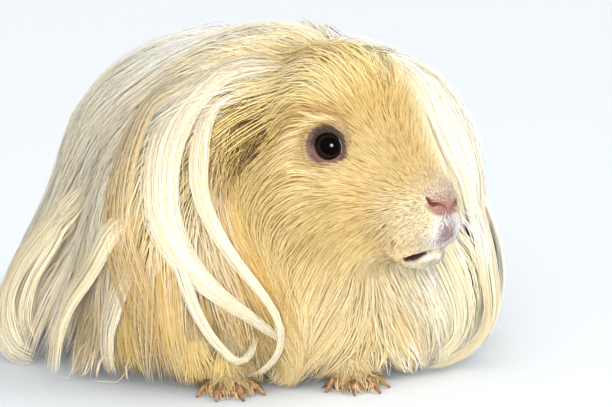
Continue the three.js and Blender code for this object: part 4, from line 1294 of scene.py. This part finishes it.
def add_shown_lock(strands, lock):
    """Strands that start, stop and lie at random places in one of the single locks."""
    n = lock["count"]
    axes = lock_axes(lock)
    start = rng.uniform(0, 0.14, (n, 1))
    stop = 1 - 0.16 * rng.uniform(0, 1, (n, 1)) ** 1.5
    s = start + (stop - start) * np.linspace(0, 1, SHOWN_STEPS)
    centre, out, side = between_steps(axes, 0, s * (axes[0].shape[1] - 1))
    half = np.interp(s, np.linspace(0, 1, len(lock["half"])), lock["half"]) * (0.9 + 0.1 * np.sin(9 * s))
    place = rng.uniform(-1, 1, (n, 1)) + rng.normal(size=(n, 1)) * 0.12
    lift = rng.uniform(-1, 1, (n, 1)) * 0.7 * np.sqrt(np.maximum(0.15, 1 - place ** 2))
    drift = np.sin(s * 4 + rng.uniform(0, 6.3, (n, 1))) * 0.7 * s
    sink = ROOT_SINK * (1 - smooth(s - start, 0, 0.16)) + TIP_SINK * smooth(s - stop, -0.2, 0)
    height = lift * (0.4 + half * 0.25) + 0.3 - sink
    paths = centre + side * (place * half + drift)[..., None] + out * height[..., None]
    paths[..., 2] = np.maximum(paths[..., 2], LOCK_FLOOR_GAP)
    gold = 0.7 * rng.uniform(0, 1, n) ** 2.5
    roots = towards(np.broadcast_to(lock["colour"] * 0.9, (n, 3)), DEEP_GOLD, gold)
    tips = towards(np.broadcast_to(lock.get("tip", lock["colour"]), (n, 3)), DEEP_GOLD, gold)
    strands.add(paths, unit(out + side * place[..., None] * 0.4), rng.uniform(0.14, 0.32, n),
                tinted(roots, 0.08, 0.1), tinted(tips, 0.07, 0.08), flat=0.4, calm=0.7)


def add_stray_hairs(strands, skin, count, steps):
    """Single fine hairs that lie across the others."""
    roots = scatter(skin, long_weight, count)
    length = rng.uniform(40, 85, count)
    depth = rng.uniform(-0.7, 0.3, count)
    length = np.minimum(length, floor_reach(roots, length, depth, 0.3, steps, 3.5))
    paths, normals = trace(roots, length, steps, depth, 0.3, stiffness=LONG_STIFFNESS, wave=0.5)
    colour = markings(roots)
    width = rng.uniform(0.14, 0.22, count)
    strands.add(paths, normals, width, tinted(colour * 0.9, 0.1), tinted(colour, 0.1))


# ------------------------------------------------------------------ lashes
def add_lashes(strands, side, count):
    """Short hairs over the eye and at its corners, dark above."""
    centre, out, forward, up = eye_axes(side)
    phi = rng.uniform(-0.2, 1.2, count) * math.pi
    upper = smooth(np.sin(phi), -0.25, 0.25)
    radius = 4.5 + rng.uniform(0, 1.9, count) * smooth(np.sin(phi), -0.6, 0.3)
    ray = forward * np.cos(phi)[:, None] + up * np.sin(phi)[:, None]
    root = centre + out * 3.75 + ray * radius[:, None]
    steps = np.linspace(0, 1, 4)
    back = -forward * 0.5 + out * 0.25
    lie = unit(ray + back + rng.normal(size=(count, 3)) * 0.22)
    length = rng.uniform(1.1, 2.4, count) * (1 + 0.5 * upper)
    paths = root[:, None] + lie[:, None] * (length[:, None] * steps)[..., None]
    paths = to_body(*xyz(paths))
    normals = np.broadcast_to(slope(coat, paths[:, 0])[:, None], paths.shape)
    colour = towards(np.broadcast_to(LASH_BROWN, (count, 3)), LASH_DARK, upper * 0.9)
    width = rng.uniform(0.12, 0.2, count)
    strands.add(paths, normals, width, tinted(colour, 0.3), tinted(colour * 1.5, 0.3))


# ------------------------------------------------------------------ feet
def foot_weight(p, normal):
    x, _, z = xyz(p)
    on_leg = (at(legs_flesh, p) < 0.6) * (normal[:, 2] > -0.3)
    front = 1 + 4 * smooth(x, 4, 14) * smooth(16 - z, 0, 4)
    return on_leg * smooth(26 - z, 0, 6) * smooth(z, 1, 3.5) * front


def add_foot_fur(strands, skin, count):
    """Short hairs on legs and feet, which lie forward and down over the toes."""
    roots = scatter(skin, foot_weight, count)
    normal = slope(flesh, roots)
    z = roots[:, 2]
    length = (5.0 + 6 * smooth(z, 4, 12)) * rng.uniform(0.7, 1.3, count)
    ahead = np.array([1.0, 0, -0.7]) + rng.normal(size=(count, 3)) * 0.22
    steps = np.linspace(0, 1, 4)
    lie = along_surface(ahead, normal)
    paths = (roots[:, None, :] + lie[:, None, :] * (length[:, None] * steps)[..., None]
             + normal[:, None, :] * (length[:, None] * 0.2 * np.sin(steps * 2.2))[..., None])
    paths[..., 2] = np.maximum(paths[..., 2], 0.4)
    normals = np.broadcast_to(normal[:, None, :], paths.shape)
    colour = towards(np.broadcast_to(CROWN_GOLD, roots.shape), DEEP_GOLD, smooth(9 - z, 0, 6) * 0.4)
    width = rng.uniform(0.18, 0.34, count)
    strands.add(paths, normals, width, tinted(colour * 0.85, 0.12), tinted(colour, 0.12))


# ------------------------------------------------------------------ materials
HAIR_GLOW = 0.2  # share of light that passes through a hair
CLAW_DARK = linear(88, 58, 42)
CLAW_PALE = linear(160, 122, 86)


def new_material(name, roughness, specular):
    """A material, its nodes and links, and its shader."""
    material = bpy.data.materials.new(name)
    material.use_nodes = True
    nodes, links = material.node_tree.nodes, material.node_tree.links
    shader = nodes["Principled BSDF"]
    shader.inputs["Roughness"].default_value = roughness
    shader.inputs["Specular IOR Level"].default_value = specular
    return material, nodes, links, shader


def noise(nodes, links, scale, detail=3.0):
    """Noise that stays in place on the object."""
    texture = nodes.new("ShaderNodeTexNoise")
    texture.inputs["Scale"].default_value = scale
    texture.inputs["Detail"].default_value = detail
    place = nodes.new("ShaderNodeTexCoord")
    links.new(place.outputs["Object"], texture.inputs["Vector"])
    return texture


def painted(nodes, links, shader, amount, scale):
    """The mesh's own colour, times soft noise between 1 - amount and 1 + amount."""
    tint = nodes.new("ShaderNodeAttribute")
    tint.attribute_name = TINT
    texture = noise(nodes, links, scale)
    span = nodes.new("ShaderNodeMapRange")
    span.inputs["To Min"].default_value = 1 - amount
    span.inputs["To Max"].default_value = 1 + amount
    links.new(texture.outputs["Fac"], span.inputs["Value"])
    scaled = nodes.new("ShaderNodeVectorMath")
    scaled.operation = "SCALE"
    links.new(tint.outputs["Color"], scaled.inputs[0])
    links.new(span.outputs["Result"], scaled.inputs["Scale"])
    links.new(scaled.outputs["Vector"], shader.inputs["Base Color"])
    return scaled.outputs["Vector"]


def roughen(nodes, links, shader, texture, strength, distance):
    """Fine bumps from a texture."""
    bump = nodes.new("ShaderNodeBump")
    bump.inputs["Strength"].default_value = strength
    bump.inputs["Distance"].default_value = distance
    links.new(texture.outputs["Fac"], bump.inputs["Height"])
    links.new(bump.outputs["Normal"], shader.inputs["Normal"])


def hair_material(name, roughness, specular):
    """Glossy hair that lets a little light through."""
    material, nodes, links, shader = new_material(name, roughness, specular)
    colour = painted(nodes, links, shader, 0.12, 900)
    through = nodes.new("ShaderNodeBsdfTranslucent")
    links.new(colour, through.inputs["Color"])
    both = nodes.new("ShaderNodeMixShader")
    both.inputs["Fac"].default_value = HAIR_GLOW
    links.new(shader.outputs["BSDF"], both.inputs[1])
    links.new(through.outputs["BSDF"], both.inputs[2])
    links.new(both.outputs["Shader"], nodes["Material Output"].inputs["Surface"])
    return material


def skin_material():
    material, nodes, links, shader = new_material("skin", 0.6, 0.35)
    painted(nodes, links, shader, 0.2, 1400)
    roughen(nodes, links, shader, noise(nodes, links, 2200, 4), 0.5, 0.0004)
    return material


def eye_material():
    material, nodes, links, shader = new_material("eye", 0.03, 0.28)
    painted(nodes, links, shader, 0.35, 1500)
    return material


def claw_material():
    material, nodes, links, shader = new_material("claw", 0.32, 0.5)
    grain = noise(nodes, links, 500, 5)
    ramp = nodes.new("ShaderNodeValToRGB")
    for element, position, colour in zip(ramp.color_ramp.elements, (0.3, 0.75), (CLAW_DARK, CLAW_PALE)):
        element.position = position
        element.color = (*colour, 1)
    links.new(grain.outputs["Fac"], ramp.inputs["Fac"])
    links.new(ramp.outputs["Color"], shader.inputs["Base Color"])
    shader.inputs["Coat Weight"].default_value = 0.3
    roughen(nodes, links, shader, grain, 0.3, 0.0003)
    return material


# ------------------------------------------------------------------ eyes
EYE_SIDES = 64
EYE_LEVELS = 40
PUPIL_RADIUS = 2.7
IRIS_RADIUS = 3.9
CORNEA_RISE = 0.035
PUPIL_BLACK = linear(7, 5, 6)
IRIS_BROWN = linear(10, 6, 6)
RIM_BROWN = linear(9, 5, 5)


def build_eye(side, name):
    """An eyeball with a slightly raised cornea, seen nearly whole between the lids."""
    centre, out, _, _ = eye_axes(side)
    polar = np.linspace(0, math.pi, EYE_LEVELS)[1:-1]
    phi = np.linspace(0, 2 * math.pi, EYE_SIDES, endpoint=False)
    polar, phi = np.meshgrid(polar, phi, indexing="ij")
    ball = EYE_RADIUS * (1 + CORNEA_RISE * hump(polar, 0, 0.6))
    radius, height = ball * np.sin(polar), ball * np.cos(polar)
    rings = round_eye(side, radius, height, phi).reshape(-1, 3)
    poles = np.stack([centre + out * EYE_RADIUS * (1 + CORNEA_RISE), centre - out * EYE_RADIUS])
    points = np.concatenate([rings, to_body(*xyz(poles))])
    quads = ring_quads(EYE_LEVELS - 2, EYE_SIDES)
    s = np.arange(EYE_SIDES)
    nxt = (s + 1) % EYE_SIDES
    last = (EYE_LEVELS - 3) * EYE_SIDES
    tris = np.concatenate([np.stack([nxt, s, np.full(EYE_SIDES, len(rings))], axis=1),
                           np.stack([last + s, last + nxt, np.full(EYE_SIDES, len(rings) + 1)], axis=1)])
    if side > 0:
        quads, tris = quads[:, ::-1], tris[:, ::-1]
    from_axis = np.append(radius.ravel() * np.sign(np.maximum(height.ravel(), 0)), [0, 9])
    from_axis = np.where(np.append(height.ravel() < 0, [False, True]), 9, from_axis)
    eye = new_mesh(name, points, quads, tris)
    paint(eye, layered(PUPIL_BLACK, points.shape, [
        (IRIS_BROWN, smooth(from_axis, PUPIL_RADIUS, PUPIL_RADIUS + 0.5)),
        (RIM_BROWN, smooth(from_axis, IRIS_RADIUS, IRIS_RADIUS + 0.5)),
    ]))
    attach(eye, "root")
    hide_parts(f"eye_{'left' if side > 0 else 'right'}")
    return eye


# ------------------------------------------------------------------ floor, light and camera
CAMERA_AZIMUTH = math.radians(78)
CAMERA_ELEVATION = math.radians(8)
CAMERA_DISTANCE = 0.600
CAMERA_TARGET = (41.6, 1.4, 60.4)
CAMERA_LENS = 118.2
SENSOR_WIDTH = 36
FLOOR_HALF = 9000.0
FLOOR_GREY = (0.494, 0.52, 0.54, 1)
SKY_WHITE = (0.96, 0.97, 0.985, 1)
SKY_STRENGTH = 1.06
SUNS = [  # name, direction, energy, colour, angle in degrees and whether it shows in reflections
    ("key", (60, 860, 520), 3.3, (1.0, 0.99, 0.96), 50, True),
    ("fill", (760, -520, 380), 1.9, (1.0, 0.985, 0.955), 60, False),
    ("front", (740, -120, 160), 1.1, (1.0, 0.99, 0.97), 60, False),
]
FLASH = ("flash", (640, -90, 130), 3.6, (1, 0.99, 0.97))
FLASH_SIZE = 0.24
LAMP_AIM = (0, 0, 60)


def add_camera():
    camera = bpy.data.objects.new("camera", bpy.data.cameras.new("camera"))
    bpy.context.scene.collection.objects.link(camera)
    back = np.array([math.sin(CAMERA_AZIMUTH) * math.cos(CAMERA_ELEVATION),
                     -math.cos(CAMERA_AZIMUTH) * math.cos(CAMERA_ELEVATION), math.sin(CAMERA_ELEVATION)])
    camera.location = to_row(CAMERA_TARGET) + back * CAMERA_DISTANCE
    camera.rotation_euler = (math.pi / 2 - CAMERA_ELEVATION, 0, CAMERA_AZIMUTH)
    camera.data.lens = CAMERA_LENS
    camera.data.sensor_width = SENSOR_WIDTH
    camera.data.clip_start = 0.01
    bpy.context.scene.camera = camera


def add_lamp(kind, name, direction, energy, colour):
    """A lamp in a direction from the object; its own place matters only for an area lamp."""
    lamp = bpy.data.lights.new(name, kind)
    lamp.energy = energy
    lamp.color = colour
    obj = bpy.data.objects.new(name, lamp)
    bpy.context.scene.collection.objects.link(obj)
    obj.location = to_row(np.array(LAMP_AIM) + np.array(direction))
    obj.rotation_euler = Vector(direction).to_track_quat("Z", "Y").to_euler()
    return obj


def add_studio():
    """A pale floor, soft lamps and a white sky."""
    corners = np.array([[-1, -1, 0], [1, -1, 0], [1, 1, 0], [-1, 1, 0]]) * FLOOR_HALF
    floor = new_mesh("floor", corners, np.array([[0, 1, 2, 3]]))
    material, _, _, shader = new_material("floor", 0.95, 0.1)
    shader.inputs["Base Color"].default_value = FLOOR_GREY
    floor.data.materials.append(material)
    floor.visible_glossy = False
    for name, direction, energy, colour, angle, glossy in SUNS:
        sun = add_lamp("SUN", name, direction, energy, colour)
        sun.data.angle = math.radians(angle)
        sun.visible_glossy = glossy
    flash = add_lamp("AREA", *FLASH)
    flash.data.shape = "DISK"
    flash.data.size = FLASH_SIZE
    world = bpy.data.worlds.new("studio")
    bpy.context.scene.world = world
    world.use_nodes = True
    background = world.node_tree.nodes["Background"]
    background.inputs["Color"].default_value = SKY_WHITE
    background.inputs["Strength"].default_value = SKY_STRENGTH
    world.cycles_visibility.glossy = False
    bpy.context.scene.view_settings.view_transform = "Standard"


# ------------------------------------------------------------------ the model
FLESH_NODES = ["head", "lower_jaw", "neck", "trunk", "hindquarters", "ear_left", "ear_right",
               "foreleg_left", "foreleg_right", "hindleg_left", "hindleg_right"]
FACE_HAIRS = 26000
CHEEK_HAIRS = 7700
EAR_HAIRS = 760
LASHES = 560
UNDERCOAT_STRANDS = 3000
LOCKS = 620
FRONT_LOCKS = 285
LOCK_STRANDS = 16
STRAY_HAIRS = 260
FOOT_HAIRS = 3600

add_camera()
add_studio()

skin = build_skin()
skin.data.materials.append(skin_material())
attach(skin, "root")
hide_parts(*FLESH_NODES)

eye_surface = eye_material()
for side, name in ((-1, "eyeball_right"), (1, "eyeball_left")):
    build_eye(side, name).data.materials.append(eye_surface)

claw_surface = claw_material()
for name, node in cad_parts.items():
    if name.startswith("claw_"):
        node.data.materials.clear()
        node.data.materials.append(claw_surface)

face_hair = hair_material("short_hair", 0.5, 0.3)
long_hair = hair_material("long_hair", 0.38, 0.45)

face = Strands("fur_face", unwrap_head)
add_face_fur(face, skin, FACE_HAIRS)
face.build(face_hair)

cheeks = Strands("fur_cheeks", unwrap_head)
add_cheek_fur(cheeks, skin, CHEEK_HAIRS)
add_ear_hair(cheeks, skin, EAR_HAIRS)
cheeks.build(face_hair)

lashes = Strands("fur_lids", unwrap_head)
for side in (-1, 1):
    add_lashes(lashes, side, LASHES)
lashes.build(face_hair)

mane = Strands("coat_long", unwrap_body)
add_undercoat(mane, skin, UNDERCOAT_STRANDS, 7)
add_locks(mane, skin, LOCKS, LOCK_STRANDS, 8)
add_front_locks(mane, skin, FRONT_LOCKS, LOCK_STRANDS, 8)
for lock in SHOWN_LOCKS:
    add_shown_lock(mane, lock)
add_stray_hairs(mane, skin, STRAY_HAIRS, 10)
mane.build(long_hair)

feet = Strands("fur_feet", unwrap_body)
add_foot_fur(feet, skin, FOOT_HAIRS)
feet.build(face_hair)
